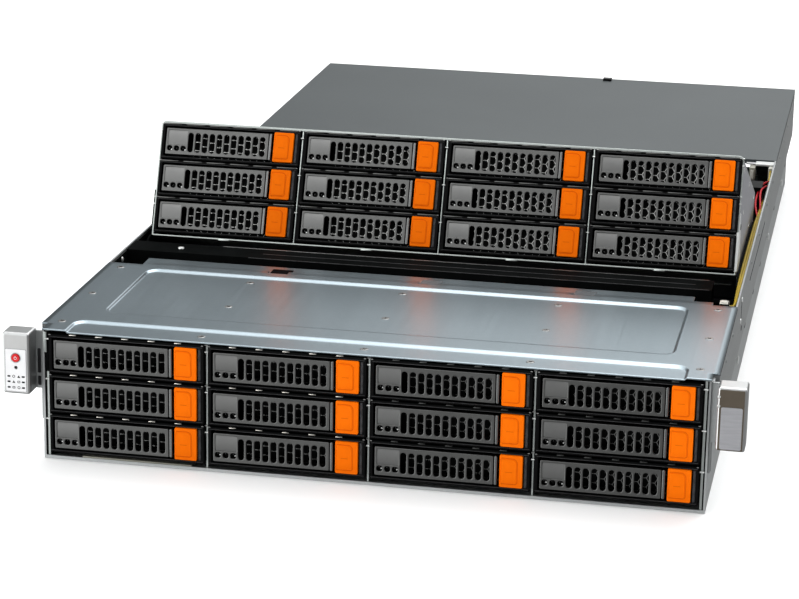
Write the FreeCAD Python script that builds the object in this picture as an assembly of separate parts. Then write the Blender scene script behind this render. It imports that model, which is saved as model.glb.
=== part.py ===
import FreeCAD, Part
import os
import math

V = FreeCAD.Vector

# ---------------------------------------------------------------- dimensions
# Millimetres. While building, Y = 0 is the front plane of the chassis and +Y
# runs to the back; everything is moved at the end so that the origin is the
# middle of the underside.
WIDTH = 437.0            # body width, rack chassis between the rails
HEIGHT = 88.0            # two rack units
DEPTH = 870.0            # front plane to rear panel
SHEET = 1.2              # steel sheet
FRONT_HALF = 214.5       # half width of the front frame and of the rail recess
FRONT_JOG = 12.3         # depth of the narrower front frame
STEP_Z = 46.0            # the wall is set in below this height, for the rails
PLATE_END = 159.4        # rear edge of the front top plate at its corners
PLATE_TAB = 165.5        # rear edge of its middle
PLATE_TAB_X0, PLATE_TAB_X1 = -192.0, 201.8
SHELF_END = 185.0        # rear edge of the lower shelf behind it
PRESS = 1.2              # depth of the pressed band and pressed panel in the plate
BAND_HALF = 198.3        # pressed band along its front edge
BAND_END = 22.0
PANEL_HALF = 186.5       # pressed panel in its middle
PANEL_Y0, PANEL_Y1 = 45.5, 149.4
COVER_START = 585.0      # front edge of the rear top cover
COVER_GAP = 0.3          # air under the lift-off cover

COL_PITCH = 105.6        # drive bays, across
ROW_PITCH = 27.0         # drive bays, up
COLS = 4
ROWS = 3
ROW_TOP = 72.0           # height of the centre of the top row
CAR_HW = 51.4            # half width of a drive carrier
CAR_HH = 12.8            # half height of a drive carrier
DIV_HALF = 0.5           # half thickness of a bay divider
LEDGE = 2.5              # guide ledge reach
CAGE_Y0 = 1.3            # front edge of the fixed bay guides
CAGE_LEN = 160.4         # length of the bay guides
BOARD_Y = 168.0          # backplane behind the bays
BOARD_T = 2.4
DRIVE = (101.6, 147.0, 25.4)

LIFT_TILT = 21.46        # raised angle of the second drive cage
LIFT_FACE = 227.0        # its front plane when lowered
LIFT_BOTTOM = 2.6
LIFT_TOP = 86.8
LIFT_HALF = 211.0
LIFT_SHEET = 1.0
LIFT_LEN = 173.0
PIVOT_Y = 455.0
PIVOT_Z = 10.0
PIVOT_R = 4.0
PIVOT_PLAY = 0.05

EAR_OUT = 237.5
EAR_IN = 219.5
EAR_FRONT = -12.0
EAR_ROUND = 1.0          # rounding of the ears' front edges
EAR_BACK = 4.0
EAR_Z0 = 46.3
EAR_Z1 = 87.3
POWER_XZ = (-228.4, 70.8)
RESET_XZ = (-228.4, 64.2)

FAN_X = (-120.0, 0.0, 120.0)
FAN_Y = 500.0
FAN_SIDE = 80.0
FAN_LEN = 38.0
FAN_Z0 = 2.2

PSU_X0 = -213.0
PSU_X1 = -139.5
PSU_Z0 = (3.0, 45.0)
PSU_H = 39.0
PSU_Y0 = 682.0

BRACE_Y0, BRACE_Y1 = 196.5, 220.5
BRACE_TOP = 87.4
BRACE_END = 198.0

STUD_Y = (243.5, 582.0, 770.0)
STUD_Z = 24.0
STUD_R = 2.25
STUD_LEN = 2.0

HALF = WIDTH / 2.0
WALL_IN = HALF - SHEET           # inner face of the wall above the step
LOW_IN = FRONT_HALF - SHEET      # inner face of the wall below the step
SHIFT = V(0, -DEPTH / 2.0, 0)


# ---------------------------------------------------------------- helpers
def box(x0, x1, y0, y1, z0, z1):
    xa, xb = min(x0, x1), max(x0, x1)
    ya, yb = min(y0, y1), max(y0, y1)
    za, zb = min(z0, z1), max(z0, z1)
    return Part.makeBox(xb - xa, yb - ya, zb - za, V(xa, ya, za))


def rod(p, r, length, direction):
    return Part.makeCylinder(r, length, V(*p), V(*direction))


def fuse(items):
    s = items[0]
    if len(items) > 1:
        s = s.fuse(items[1:])
    return s.removeSplitter()


def plate_x(points_yz, x0, x1):
    pts = [V(x0, y, z) for (y, z) in points_yz]
    face = Part.Face(Part.makePolygon(pts + [pts[0]]))
    return face.extrude(V(x1 - x0, 0, 0))


def solids_of(item):
    if isinstance(item, (list, tuple)):
        out = []
        for i in item:
            out.extend(solids_of(i))
        return out
    return list(item.Solids)


def raise_lift(s):
    s = s.copy()
    s.rotate(V(0, PIVOT_Y, PIVOT_Z), V(1, 0, 0), -LIFT_TILT)
    return s


nodes = {}


def col_x(c):
    return (c - (COLS - 1) / 2.0) * COL_PITCH


def row_z(r):
    return ROW_TOP - r * ROW_PITCH


# ---------------------------------------------------------------- chassis tub
wall_top_rear = HEIGHT - SHEET - COVER_GAP
tub = [
    box(-FRONT_HALF, FRONT_HALF, 0, DEPTH, 0, SHEET),
    box(-LOW_IN, LOW_IN, 0, SHEET, SHEET, 1.9),
]
for s in (-1, 1):
    # wall of the rail recess, the ledge over it, the wider wall above, the front frame
    tub.append(box(s * LOW_IN, s * FRONT_HALF, 0, DEPTH, 0, STEP_Z + SHEET))
    tub.append(box(s * LOW_IN, s * HALF, FRONT_JOG, DEPTH, STEP_Z, STEP_Z + SHEET))
    tub.append(box(s * WALL_IN, s * HALF, FRONT_JOG, PLATE_END, STEP_Z, HEIGHT - SHEET))
    tub.append(box(s * WALL_IN, s * HALF, PLATE_END, COVER_START - 0.6, STEP_Z, HEIGHT))
    tub.append(box(s * WALL_IN, s * HALF, COVER_START - 0.6, DEPTH, STEP_Z, wall_top_rear))
    tub.append(box(s * LOW_IN, s * FRONT_HALF, 0, FRONT_JOG + SHEET, 0, HEIGHT - SHEET))
    tub.append(box(s * LOW_IN, s * HALF, FRONT_JOG, FRONT_JOG + SHEET, STEP_Z, HEIGHT - SHEET))
nodes["chassis_tub"] = [fuse(tub)]

# ---------------------------------------------------------------- rear panel
panel = fuse([
    box(-LOW_IN, LOW_IN, DEPTH - SHEET, DEPTH, SHEET, wall_top_rear - 0.3),
    box(-WALL_IN, WALL_IN, DEPTH - SHEET, DEPTH, STEP_Z + SHEET, wall_top_rear - 0.3),
])
cuts = [
    box(-214.5, -138.4, DEPTH - 5, DEPTH + 5, 2.2, 85.2),
    box(-125.0, 34.0, DEPTH - 5, DEPTH + 5, 8.0, 52.5),
]
SLOT_X = [58.0 + 20.32 * k for k in range(7)]
for x in SLOT_X:
    cuts.append(box(x - 6.5, x + 6.5, DEPTH - 5, DEPTH + 5, 9.0, 78.0))
for k in range(14):
    x = -120.0 + 11.6 * k
    cuts.append(box(x, x + 7.6, DEPTH - 5, DEPTH + 5, 58.0, 80.0))
for c in cuts:
    panel = panel.cut(c)
nodes["rear_panel"] = [panel]

# ---------------------------------------------------------------- front top plate
plate = [
    box(-HALF, HALF, FRONT_JOG, PLATE_END, HEIGHT - SHEET, HEIGHT),
    box(PLATE_TAB_X0, PLATE_TAB_X1, PLATE_END, PLATE_TAB, HEIGHT - SHEET, HEIGHT),
    box(-FRONT_HALF, FRONT_HALF, 0, FRONT_JOG, HEIGHT - SHEET, HEIGHT),
    box(-BAND_HALF - SHEET, BAND_HALF + SHEET, 0, BAND_END + SHEET, HEIGHT - PRESS - SHEET, HEIGHT),
    box(-PANEL_HALF - SHEET, PANEL_HALF + SHEET, PANEL_Y0 - SHEET, PANEL_Y1 + SHEET, HEIGHT - PRESS - SHEET, HEIGHT),
    box(PLATE_TAB_X0, PLATE_TAB_X1, PLATE_TAB - SHEET, PLATE_TAB, 82.5, HEIGHT - SHEET),
]
plate = fuse(plate)
plate = plate.cut(box(-BAND_HALF, BAND_HALF, -1.0, BAND_END, HEIGHT - PRESS, HEIGHT + 1.0))
plate = plate.cut(box(-PANEL_HALF, PANEL_HALF, PANEL_Y0, PANEL_Y1, HEIGHT - PRESS, HEIGHT + 1.0))
for x in (-98.0, 8.0, 114.5):
    plate = plate.cut(box(x - 7.0, x + 7.0, 160.0, PLATE_TAB + 2, 80, HEIGHT + 2))
# lower rear shelf of the plate, over the backplane
plate = plate.fuse([box(-190.0, 188.0, PLATE_TAB - SHEET, SHELF_END, 84.4, 85.4)]).removeSplitter()
nodes["front_top_cover"] = [plate]


# ---------------------------------------------------------------- drive bay guides
def bay_plates(y0, z_low, z_high, side_plates, side_face):
    """Dividers between the columns, both side plates, and the guide rails riveted to them."""
    out = []
    for i in range(COLS + 1):
        xd = (i - COLS / 2.0) * COL_PITCH
        if i == 0:
            out.append(side_plates[0])
            faces = [(-side_face, 1)]
        elif i == COLS:
            out.append(side_plates[1])
            faces = [(side_face, -1)]
        else:
            out.append(box(xd - DIV_HALF, xd + DIV_HALF, y0, y0 + CAGE_LEN, z_low, z_high))
            faces = [(xd - DIV_HALF, -1), (xd + DIV_HALF, 1)]
        for xf, s in faces:
            for r in range(ROWS):
                zb = row_z(r) - CAR_HH - 1.1
                out.append(box(xf, xf + s * LEDGE, y0 + 14.0, y0 + CAGE_LEN, zb, zb + 0.8))
    return out


side_in = COLS / 2.0 * COL_PITCH - DIV_HALF
side_out = LOW_IN - 0.1
nodes["front_drive_cage"] = bay_plates(CAGE_Y0, SHEET, 85.2, [
    box(-side_out, -side_in, CAGE_Y0, CAGE_Y0 + CAGE_LEN, SHEET, 86.4),
    box(side_in, side_out, CAGE_Y0, CAGE_Y0 + CAGE_LEN, SHEET, 86.4)], side_in)


# ---------------------------------------------------------------- drive carriers
LEVER_X0, LEVER_X1 = -47.7, 30.6
LEVER_Z0, LEVER_Z1 = -9.6, 9.4
BUTTON_X0, BUTTON_X1 = 31.8, 46.5
BUTTON_HZ = 10.6
LEVER_PIN = (-46.6, -0.6)
LEVER_PIN_R = 0.9
SLOTS = 11


def carrier_frame(with_pin_holes):
    f = box(-CAR_HW, CAR_HW, -2.0, 12.0, -CAR_HH, CAR_HH)
    f = f.cut(box(-49.6, 47.4, -3.0, 6.0, -11.2, 11.2))
    f = f.cut(box(-33.0, 27.5, 5.0, 13.0, -8.0, 8.0))
    if with_pin_holes:
        f = f.cut(rod((LEVER_PIN[0], LEVER_PIN[1], -13.5), LEVER_PIN_R + 0.05, 27.0, (0, 0, 1)))
    return f


def carrier_tray():
    out = []
    for s in (-1, 1):
        out.append(box(s * (DRIVE[0] / 2.0), s * CAR_HW, 12.0, 160.0, -CAR_HH, CAR_HH))
    return out


def carrier_drive():
    d = box(-DRIVE[0] / 2.0, DRIVE[0] / 2.0, 12.5, 12.5 + DRIVE[1], -DRIVE[2] / 2.0, DRIVE[2] / 2.0)
    d = d.cut(box(-45.0, 45.0, 40.0, 152.0, -DRIVE[2] / 2.0 - 1, -DRIVE[2] / 2.0 + 6.0))
    return d


def carrier_lever(with_pin):
    lev = box(LEVER_X0, LEVER_X1, -3.0, 5.5, LEVER_Z0, LEVER_Z1)
    first, pitch, wide = -31.3, 5.345, 3.9
    for k in range(SLOTS):
        x = first + pitch * k
        lev = lev.cut(box(x, x + wide, -4.0, 7.0, -7.6, 6.6))
    if with_pin:
        lev = lev.fuse(rod((LEVER_PIN[0], LEVER_PIN[1], -12.2), LEVER_PIN_R, 24.4, (0, 0, 1))).removeSplitter()
    return lev


def carrier_button():
    return box(BUTTON_X0, BUTTON_X1, -3.4, 3.0, -BUTTON_HZ, BUTTON_HZ)


def placed(items, dx, dy, dz, lift):
    out = []
    for i in items:
        c = i.copy()
        c.translate(V(dx, dy, dz))
        if lift:
            c = raise_lift(c)
        out.append(c)
    return out


for bank, y0, lift in (("front", 0.0, False), ("lift", LIFT_FACE, True)):
    for r in range(ROWS):
        for c in range(COLS):
            name = "%s_carrier_r%dc%d" % (bank, r + 1, c + 1)
            show = (r == 0 and c == 0)
            items = [carrier_frame(show)] + carrier_tray() + [carrier_drive()]
            if not show:
                lev = carrier_lever(False)
                # the fixed bezel and button stand on the frame's back plate
                items.append(lev.fuse(box(LEVER_X0, LEVER_X0 + 14.0, 5.5, 6.0, LEVER_Z0, LEVER_Z1)).removeSplitter())
                items.append(box(BUTTON_X0, BUTTON_X1, -3.4, 6.0, -BUTTON_HZ, BUTTON_HZ))
            nodes[name] = placed(items, col_x(c), y0, row_z(r), lift)
            if show:
                nodes["%s_lever_r1c1" % bank] = placed([carrier_lever(True)], col_x(c), y0, row_z(r), lift)
                nodes["%s_button_r1c1" % bank] = placed([carrier_button()], col_x(c), y0, row_z(r), lift)


# ---------------------------------------------------------------- backplanes
def backplane(y0, z0, z1, half):
    board = box(-half, half, y0 + BOARD_Y, y0 + BOARD_Y + BOARD_T, z0, z1)
    for r in range(ROWS - 1):
        zc = row_z(r) - ROW_PITCH / 2.0
        for c in range(COLS):
            board = board.cut(box(col_x(c) - 38, col_x(c) + 38, y0 + BOARD_Y - 2, y0 + BOARD_Y + 5, zc - 4, zc + 4))
    out = [board]
    for r in range(ROWS):
        for c in range(COLS):
            out.append(box(col_x(c) - 44.0, col_x(c) - 2.0, y0 + 160.8, y0 + BOARD_Y,
                           row_z(r) - 8.5, row_z(r) - 3.5))
    return out


fb = backplane(0.0, 2.0, 84.0, 212.0)
# power socket of the harness, at the right-hand end of the board
fb.append(box(205.5, 212.0, BOARD_Y + BOARD_T, 179.5, 73.5, 86.0))
nodes["front_backplane"] = fb
nodes["lift_backplane"] = [raise_lift(b) for b in backplane(LIFT_FACE, 4.2, 85.4, 209.6)]

# ---------------------------------------------------------------- second cage, raised
lift_end = LIFT_FACE + LIFT_LEN
arm = 7.0
arc_pts = []
for k in range(0, 9):
    a = math.radians(-90.0 + 22.5 * k)
    arc_pts.append((PIVOT_Y + arm * math.cos(a), PIVOT_Z + arm * math.sin(a)))
side_pts = [(LIFT_FACE, LIFT_BOTTOM), (PIVOT_Y - 30.0, LIFT_BOTTOM)] + arc_pts + \
           [(PIVOT_Y - 14.0, 26.0), (lift_end, 66.0), (lift_end, LIFT_TOP), (LIFT_FACE, LIFT_TOP)]
lift_sides = []
for s in (-1, 1):
    side = plate_x(side_pts, s * (LIFT_HALF - LIFT_SHEET), s * LIFT_HALF)
    lift_sides.append(side.cut(rod((s * (LIFT_HALF - 4), PIVOT_Y, PIVOT_Z), PIVOT_R, 8.0, (s, 0, 0))))
inner = LIFT_HALF - LIFT_SHEET
lc = bay_plates(LIFT_FACE, LIFT_BOTTOM + 1.0, LIFT_TOP - 1.0, lift_sides, inner)
lc.append(box(-inner, inner, LIFT_FACE, lift_end, LIFT_BOTTOM, LIFT_BOTTOM + 1.0))
lc.append(box(-inner, inner, LIFT_FACE, lift_end, LIFT_TOP - 1.0, LIFT_TOP))
lc.append(box(-inner, inner, LIFT_FACE + BOARD_Y + BOARD_T, lift_end, LIFT_TOP - 11.0, LIFT_TOP - 1.0))
# bright latch plate on the right-hand side
lc.append(plate_x([(LIFT_FACE, LIFT_BOTTOM + 4), (LIFT_FACE + 26, LIFT_BOTTOM + 4), (LIFT_FACE + 30, LIFT_BOTTOM + 12),
                   (LIFT_FACE + 6, LIFT_BOTTOM + 44), (LIFT_FACE, LIFT_BOTTOM + 44)], LIFT_HALF, LIFT_HALF + 0.5))
nodes["lift_cage"] = [raise_lift(s) for s in lc]
nodes["lift_hinge_rod"] = [raise_lift(rod((-213.1, PIVOT_Y, PIVOT_Z), PIVOT_R, 426.2, (1, 0, 0)))]

# ---------------------------------------------------------------- brackets in the well
bracket_pts = [(230.0, SHEET), (472.0, SHEET), (472.0, 36.0), (392.0, 86.0), (239.0, 86.0), (230.0, 82.0)]
br = []
for s in (-1, 1):
    b = plate_x(bracket_pts, s * 212.0, s * LOW_IN)
    b = b.cut(rod((s * 209.0, PIVOT_Y, PIVOT_Z), PIVOT_R + PIVOT_PLAY, 9.0, (s, 0, 0)))
    br.append(b)
# channel across the well in front of the second cage, and the post under its end
brace = fuse([
    box(-WALL_IN + 0.5, BRACE_END, BRACE_Y0, BRACE_Y1, BRACE_TOP - SHEET, BRACE_TOP),
    box(-WALL_IN + 0.5, BRACE_END, BRACE_Y0, BRACE_Y0 + SHEET, 66.0, BRACE_TOP),
    box(-WALL_IN + 0.5, BRACE_END, BRACE_Y1 - SHEET, BRACE_Y1, 74.0, BRACE_TOP),
])
br.append(brace)
br.append(box(BRACE_END - 8.0, BRACE_END - 1.0, BRACE_Y0 + 6.0, BRACE_Y0 + 14.0, SHEET, BRACE_TOP - SHEET))
# black insulating sheet on the inside of the left-hand wall
br.append(box(-WALL_IN, -WALL_IN + 0.5, 166.0, 584.0, STEP_Z + SHEET + 0.2, 86.0))
nodes["lift_brackets"] = br

# ---------------------------------------------------------------- ears
def ear(s, holes):
    shell = box(s * EAR_IN, s * EAR_OUT, EAR_FRONT, EAR_BACK, EAR_Z0, EAR_Z1)
    shell = shell.makeFillet(EAR_ROUND, [e for e in shell.Edges
                                         if abs(e.BoundBox.YMin - EAR_FRONT) < 1e-6
                                         and abs(e.BoundBox.YMax - EAR_FRONT) < 1e-6])
    shell = shell.cut(box(s * (EAR_IN + 1.5), s * (EAR_OUT - 1.5), EAR_FRONT + 3.0, EAR_BACK + 1, EAR_Z0 + 1.5, EAR_Z1 - 4.0))
    for (x, z, r) in holes:
        shell = shell.cut(rod((x, EAR_FRONT - 2, z), r, 8.0, (0, 1, 0)))
    web = box(s * FRONT_HALF, s * EAR_IN, 2.2, EAR_BACK, EAR_Z0, EAR_Z1 - 1.5)
    flange = box(s * FRONT_HALF, s * (FRONT_HALF + 1.6), 2.2, FRONT_JOG - 0.2, 26.0, EAR_Z1 - 1.5)
    return fuse([shell, web, flange])


nodes["left_ear"] = [ear(-1, [(POWER_XZ[0], POWER_XZ[1], 3.1), (RESET_XZ[0], RESET_XZ[1], 1.1)])]
nodes["right_ear"] = [ear(1, [])]

over = box(-235.3, -221.7, EAR_FRONT - 0.5, EAR_FRONT, 48.2, 76.4)
over = over.cut(rod((POWER_XZ[0], EAR_FRONT - 2, POWER_XZ[1]), 3.1, 4.0, (0, 1, 0)))
over = over.cut(rod((RESET_XZ[0], EAR_FRONT - 2, RESET_XZ[1]), 1.1, 4.0, (0, 1, 0)))
nodes["control_overlay"] = [over]
nodes["power_button"] = [rod((POWER_XZ[0], EAR_FRONT - 1.4, POWER_XZ[1]), 2.7, 9.4, (0, 1, 0))]
nodes["reset_button"] = [rod((RESET_XZ[0], EAR_FRONT - 0.3, RESET_XZ[1]), 0.75, 8.3, (0, 1, 0))]

# ---------------------------------------------------------------- fans
frames = []
zc = FAN_Z0 + FAN_SIDE / 2.0
for i, fx in enumerate(FAN_X):
    f = box(fx - FAN_SIDE / 2.0, fx + FAN_SIDE / 2.0, FAN_Y, FAN_Y + FAN_LEN, FAN_Z0, FAN_Z0 + FAN_SIDE)
    f = f.cut(rod((fx, FAN_Y - 1, zc), 38.0, FAN_LEN + 2, (0, 1, 0)))
    base = rod((fx, FAN_Y + 31.0, zc), 17.0, 7.0, (0, 1, 0))
    strut = [box(fx - 39.0, fx + 39.0, FAN_Y + 32.0, FAN_Y + 37.0, zc - 1.5, zc + 1.5),
             box(fx - 1.5, fx + 1.5, FAN_Y + 32.0, FAN_Y + 37.0, zc - 39.0, zc + 39.0)]
    frames.append(fuse([f, base] + strut))
    hub = [rod((fx, FAN_Y + 3.0, zc), 16.5, 26.0, (0, 1, 0))]
    for k in range(7):
        b = box(fx - 0.9, fx + 0.9, FAN_Y + 5.0, FAN_Y + 26.0, zc + 14.0, zc + 36.0)
        b.rotate(V(fx, FAN_Y + 15.5, zc), V(0, 0, 1), 32.0)
        b.rotate(V(fx, FAN_Y + 15.5, zc), V(0, 1, 0), 360.0 / 7.0 * k)
        hub.append(b)
    nodes["fan_rotor_%d" % (i + 1)] = [fuse(hub)]
# the fan wall fills the width between and beside the fans
edges = [-LOW_IN + 0.3]
for fx in FAN_X:
    edges += [fx - FAN_SIDE / 2.0, fx + FAN_SIDE / 2.0]
edges.append(212.0)
for k in range(0, len(edges), 2):
    frames.append(box(edges[k], edges[k + 1], FAN_Y + 16.0, FAN_Y + 20.0, SHEET, FAN_Z0 + FAN_SIDE))
frames.append(box(edges[0], edges[-1], FAN_Y + 8.0, FAN_Y + 30.0, FAN_Z0 + FAN_SIDE, FAN_Z0 + FAN_SIDE + 1.6))
nodes["fan_frames"] = frames

# ---------------------------------------------------------------- main board and what stands on it
BOARD_TOP = 9.6
mb = [box(-120.0, 205.0, 600.0, 850.0, 8.0, BOARD_TOP)]
for x in (-112.0, 40.0, 196.0):
    for y in (608.0, 725.0, 842.0):
        mb.append(rod((x, y, SHEET), 3.0, 8.0 - SHEET, (0, 0, 1)))
for x0, x1, y0, y1, h in ((-20, 14, 760, 794, 4), (40, 66, 745, 775, 9), (84, 132, 712, 720, 12), (150, 196, 712, 720, 12),
                          (-60, -20, 712, 724, 10), (-106, -88, 770, 790, 6)):
    mb.append(box(x0, x1, y0, y1, BOARD_TOP, BOARD_TOP + h))
nodes["motherboard"] = mb

hs = []
for x0 in (-70.0, 72.0):
    items = [box(x0, x0 + 90.0, 612.0, 702.0, BOARD_TOP, 20.0)]
    for k in range(19):
        x = x0 + 0.5 + 4.88 * k
        items.append(box(x, x + 1.0, 612.0, 702.0, 20.0, 72.0))
    hs.append(fuse(items))
nodes["cpu_heatsinks"] = hs

mm = []
for x0 in (-112.0, 34.0, 174.0):
    for k in range(4):
        x = x0 + 8.0 * k
        mm.append(box(x, x + 1.4, 603.0, 701.0 + 35.0 - 26.0, BOARD_TOP, 41.0))
nodes["memory_modules"] = mm

# ---------------------------------------------------------------- expansion slots
BRACKET_Y = DEPTH - SHEET
cards, covers = [], []
for k, x in enumerate(SLOT_X):
    br_plate = [box(x - 9.2, x + 9.2, BRACKET_Y - 0.9, BRACKET_Y, 5.0, 83.0),
                box(x - 9.2, x + 9.2, BRACKET_Y - 9.0, BRACKET_Y, 83.0, 83.9)]
    br_plate = fuse(br_plate)
    if k in (1, 4):
        cards.append(br_plate)
        cards.append(box(x - 0.8, x + 0.8, 726.0, BRACKET_Y - 0.9, 14.0, 78.0))
        cards.append(box(x + 0.8, x + 14.0, 752.0, 790.0, 34.0, 68.0))
    else:
        covers.append(br_plate)
nodes["expansion_cards"] = cards
nodes["slot_covers"] = covers

# ---------------------------------------------------------------- rear ports
io = []
PORT_BACK = DEPTH + 0.8


def ring(x0, x1, z0, z1, y0, y1, ix0, ix1, iz0, iz1, depth):
    """Walls of a socket that is open to the rear, with a block at its inner end."""
    return [
        box(x0, x1, y0, y1 - depth, z0, z1),
        box(x0, ix0, y1 - depth, y1, z0, z1),
        box(ix1, x1, y1 - depth, y1, z0, z1),
        box(ix0, ix1, y1 - depth, y1, z0, iz0),
        box(ix0, ix1, y1 - depth, y1, iz1, z1),
    ]


RJ_X = (-24.0, -4.0, 16.0)
USB_X = (-66.0, -47.0)
RJ_Z = (BOARD_TOP, 23.4)
for x in RJ_X:
    io += ring(x - 8.0, x + 8.0, RJ_Z[0], RJ_Z[1], 849.0, PORT_BACK, x - 6.0, x + 6.0, 11.4, 20.6, 14.0)
for x in USB_X:
    io += ring(x - 7.6, x + 7.6, BOARD_TOP, 17.6, 849.0, PORT_BACK, x - 6.6, x + 6.6, 11.2, 16.6, 12.0)
    io += ring(x - 7.6, x + 7.6, 17.6, 25.6, 849.0, PORT_BACK, x - 6.6, x + 6.6, 19.2, 24.6, 12.0)
io.append(box(-116.0, -85.0, 850.0, PORT_BACK + 4.0, BOARD_TOP + 1.0, 22.6))
shield_parts = [box(-124.6, 33.6, DEPTH - 1.0, DEPTH - 0.2, 27.0, 52.1)]
gaps = [(-124.6, -116.4), (-84.6, -74.0), (-58.0, -55.0), (-39.0, -32.4), (-15.6, -12.4), (4.4, 7.6), (24.4, 33.6)]
for g0, g1 in gaps:
    shield_parts.append(box(g0, g1, DEPTH - 1.0, DEPTH - 0.2, 8.4, 27.0))
io += [fuse(shield_parts)]
nodes["io_ports"] = io

# ---------------------------------------------------------------- power supplies
bay = [
    box(-138.9, -137.7, 680.0, DEPTH - SHEET, SHEET, 85.4),
    box(-LOW_IN, -138.9, 680.0, DEPTH - SHEET, 43.1, 44.1),
]
nodes["psu_bay"] = bay
PSU_REAR = DEPTH + 0.6
INLET = (-203.0, -178.0, 9.0, 26.5)
for i, z0 in enumerate(PSU_Z0):
    z1 = z0 + PSU_H
    ix0, ix1 = INLET[0], INLET[1]
    iz0, iz1 = z0 + INLET[2], z0 + INLET[3]
    yb = PSU_REAR - 2.0
    ps = [
        box(PSU_X0, PSU_X1, PSU_Y0, yb, z0, z0 + 1.0),
        box(PSU_X0, PSU_X1, PSU_Y0, yb, z1 - 1.0, z1),
        box(PSU_X0, PSU_X0 + 1.0, PSU_Y0, yb, z0 + 1.0, z1 - 1.0),
        box(PSU_X1 - 1.0, PSU_X1, PSU_Y0, yb, z0 + 1.0, z1 - 1.0),
        box(PSU_X0 + 1.0, PSU_X1 - 1.0, PSU_Y0, PSU_Y0 + 120.0, z0 + 6.0, z0 + 22.0),
        box(PSU_X0, ix0, yb, PSU_REAR, z0, z1),
        box(ix1, PSU_X1, yb, PSU_REAR, z0, z1),
        box(ix0, ix1, yb, PSU_REAR, z0, iz0),
        box(ix0, ix1, yb, PSU_REAR, iz1, z1),
        box(ix0 - 1.5, ix0, yb - 18.0, yb, iz0 - 1.5, iz1 + 1.5),
        box(ix1, ix1 + 1.5, yb - 18.0, yb, iz0 - 1.5, iz1 + 1.5),
        box(ix0, ix1, yb - 18.0, yb, iz0 - 1.5, iz0),
        box(ix0, ix1, yb - 18.0, yb, iz1, iz1 + 1.5),
        box(ix0, ix1, yb - 18.0, yb - 16.5, iz0, iz1),
        # pull handle and release tab
        box(-172.0, -169.0, PSU_REAR, PSU_REAR + 22.0, z0 + 5.0, z0 + 9.0),
        box(-150.0, -147.0, PSU_REAR, PSU_REAR + 22.0, z0 + 5.0, z0 + 9.0),
        box(-172.0, -147.0, PSU_REAR + 22.0, PSU_REAR + 26.0, z0 + 5.0, z0 + 9.0),
        box(-143.4, -140.4, PSU_REAR, PSU_REAR + 16.0, z0 + 10.0, z0 + 26.0),
    ]
    nodes["psu_%d" % (i + 1)] = ps

pb = [box(-212.8, -139.0, 666.0, 668.0, 4.0, 84.5)]
for z0 in PSU_Z0:
    pb.append(box(-200.0, -152.0, 668.0, 681.2, z0 + 10.0, z0 + 18.0))
pb.append(box(-212.8, -139.0, 656.0, 666.0, 4.0, 16.0))
nodes["power_board"] = pb

# ---------------------------------------------------------------- rear top cover
tc = fuse([
    box(-HALF, HALF, COVER_START, DEPTH + 0.4, HEIGHT - SHEET, HEIGHT),
    box(-HALF + 3.0, HALF - 3.0, COVER_START, COVER_START + SHEET, 84.4, HEIGHT - SHEET),
    box(-HALF + 1.8, -HALF + 3.0, COVER_START, DEPTH - 14.0, 84.4, HEIGHT - SHEET),
    box(HALF - 3.0, HALF - 1.8, COVER_START, DEPTH - 14.0, 84.4, HEIGHT - SHEET),
])
nodes["top_cover"] = [tc, box(42.5, 50.0, DEPTH - 10.0, DEPTH - 3.0, HEIGHT, HEIGHT + 2.0)]

# ---------------------------------------------------------------- wiring along the right-hand wall
WIRE_R = 0.9
WIRE_X = 215.3
WIRE_BEND = 3.0
WIRE_END = 566.0


def wire_path(z):
    a = WIRE_BEND
    k = math.sqrt(0.5)
    p0, p1 = V(212.0, 175.0, z), V(WIRE_X - a, 175.0, z)
    p2 = V(WIRE_X, 175.0 + a, z)
    m1 = V(WIRE_X - a + a * k, 175.0 + a - a * k, z)
    p3 = V(WIRE_X, WIRE_END, z)
    edges = [Part.LineSegment(p0, p1).toShape(), Part.Arc(p1, m1, p2).toShape(),
             Part.LineSegment(p2, p3).toShape()]
    w = Part.Wire(edges)
    prof = Part.Wire([Part.makeCircle(WIRE_R, p0, V(1, 0, 0))])
    return w.makePipeShell([prof], True, False), w.Length


# five wires from the socket along the wall to a coupling on the ledge of the step
harness = []
for i in range(5):
    tube, run = wire_path(74.8 + 2.1 * i)
    harness.append(Part.Solid(tube) if tube.ShapeType == "Shell" else tube)
    print("wire", i, "length", round(run, 1), "volume ratio",
          round(tube.Volume / (math.pi * WIRE_R ** 2 * run), 4), "bend", WIRE_BEND)
harness.append(box(213.4, WALL_IN - 0.1, WIRE_END, 583.5, STEP_Z + SHEET, 86.0))
nodes["wire_harness"] = harness

# ---------------------------------------------------------------- studs and screws
st = []
for s in (-1, 1):
    for y in STUD_Y:
        st.append(rod((s * FRONT_HALF, y, STUD_Z), STUD_R, STUD_LEN, (s, 0, 0)))
nodes["rail_studs"] = st

sc = []
for x in (-207.0, 206.0):
    for y in (83.7, 149.0):
        sc.append(rod((x, y, HEIGHT), 2.8, 0.4, (0, 0, 1)))
    sc.append(rod((x, 18.0, HEIGHT), 2.8, 0.4, (0, 0, 1)))
for x in (-111.8, -5.6, 100.5):
    for y in (11.0, 79.5, 137.5):
        sc.append(rod((x, y, HEIGHT - PRESS), 2.6, 0.4, (0, 0, 1)))
for s in (-1, 1):
    for z in (50.0, 78.0):
        sc.append(rod((s * (FRONT_HALF + 1.6), 8.2, z), 2.4, 1.4, (s, 0, 0)))
nodes["cover_screws"] = sc

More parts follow.
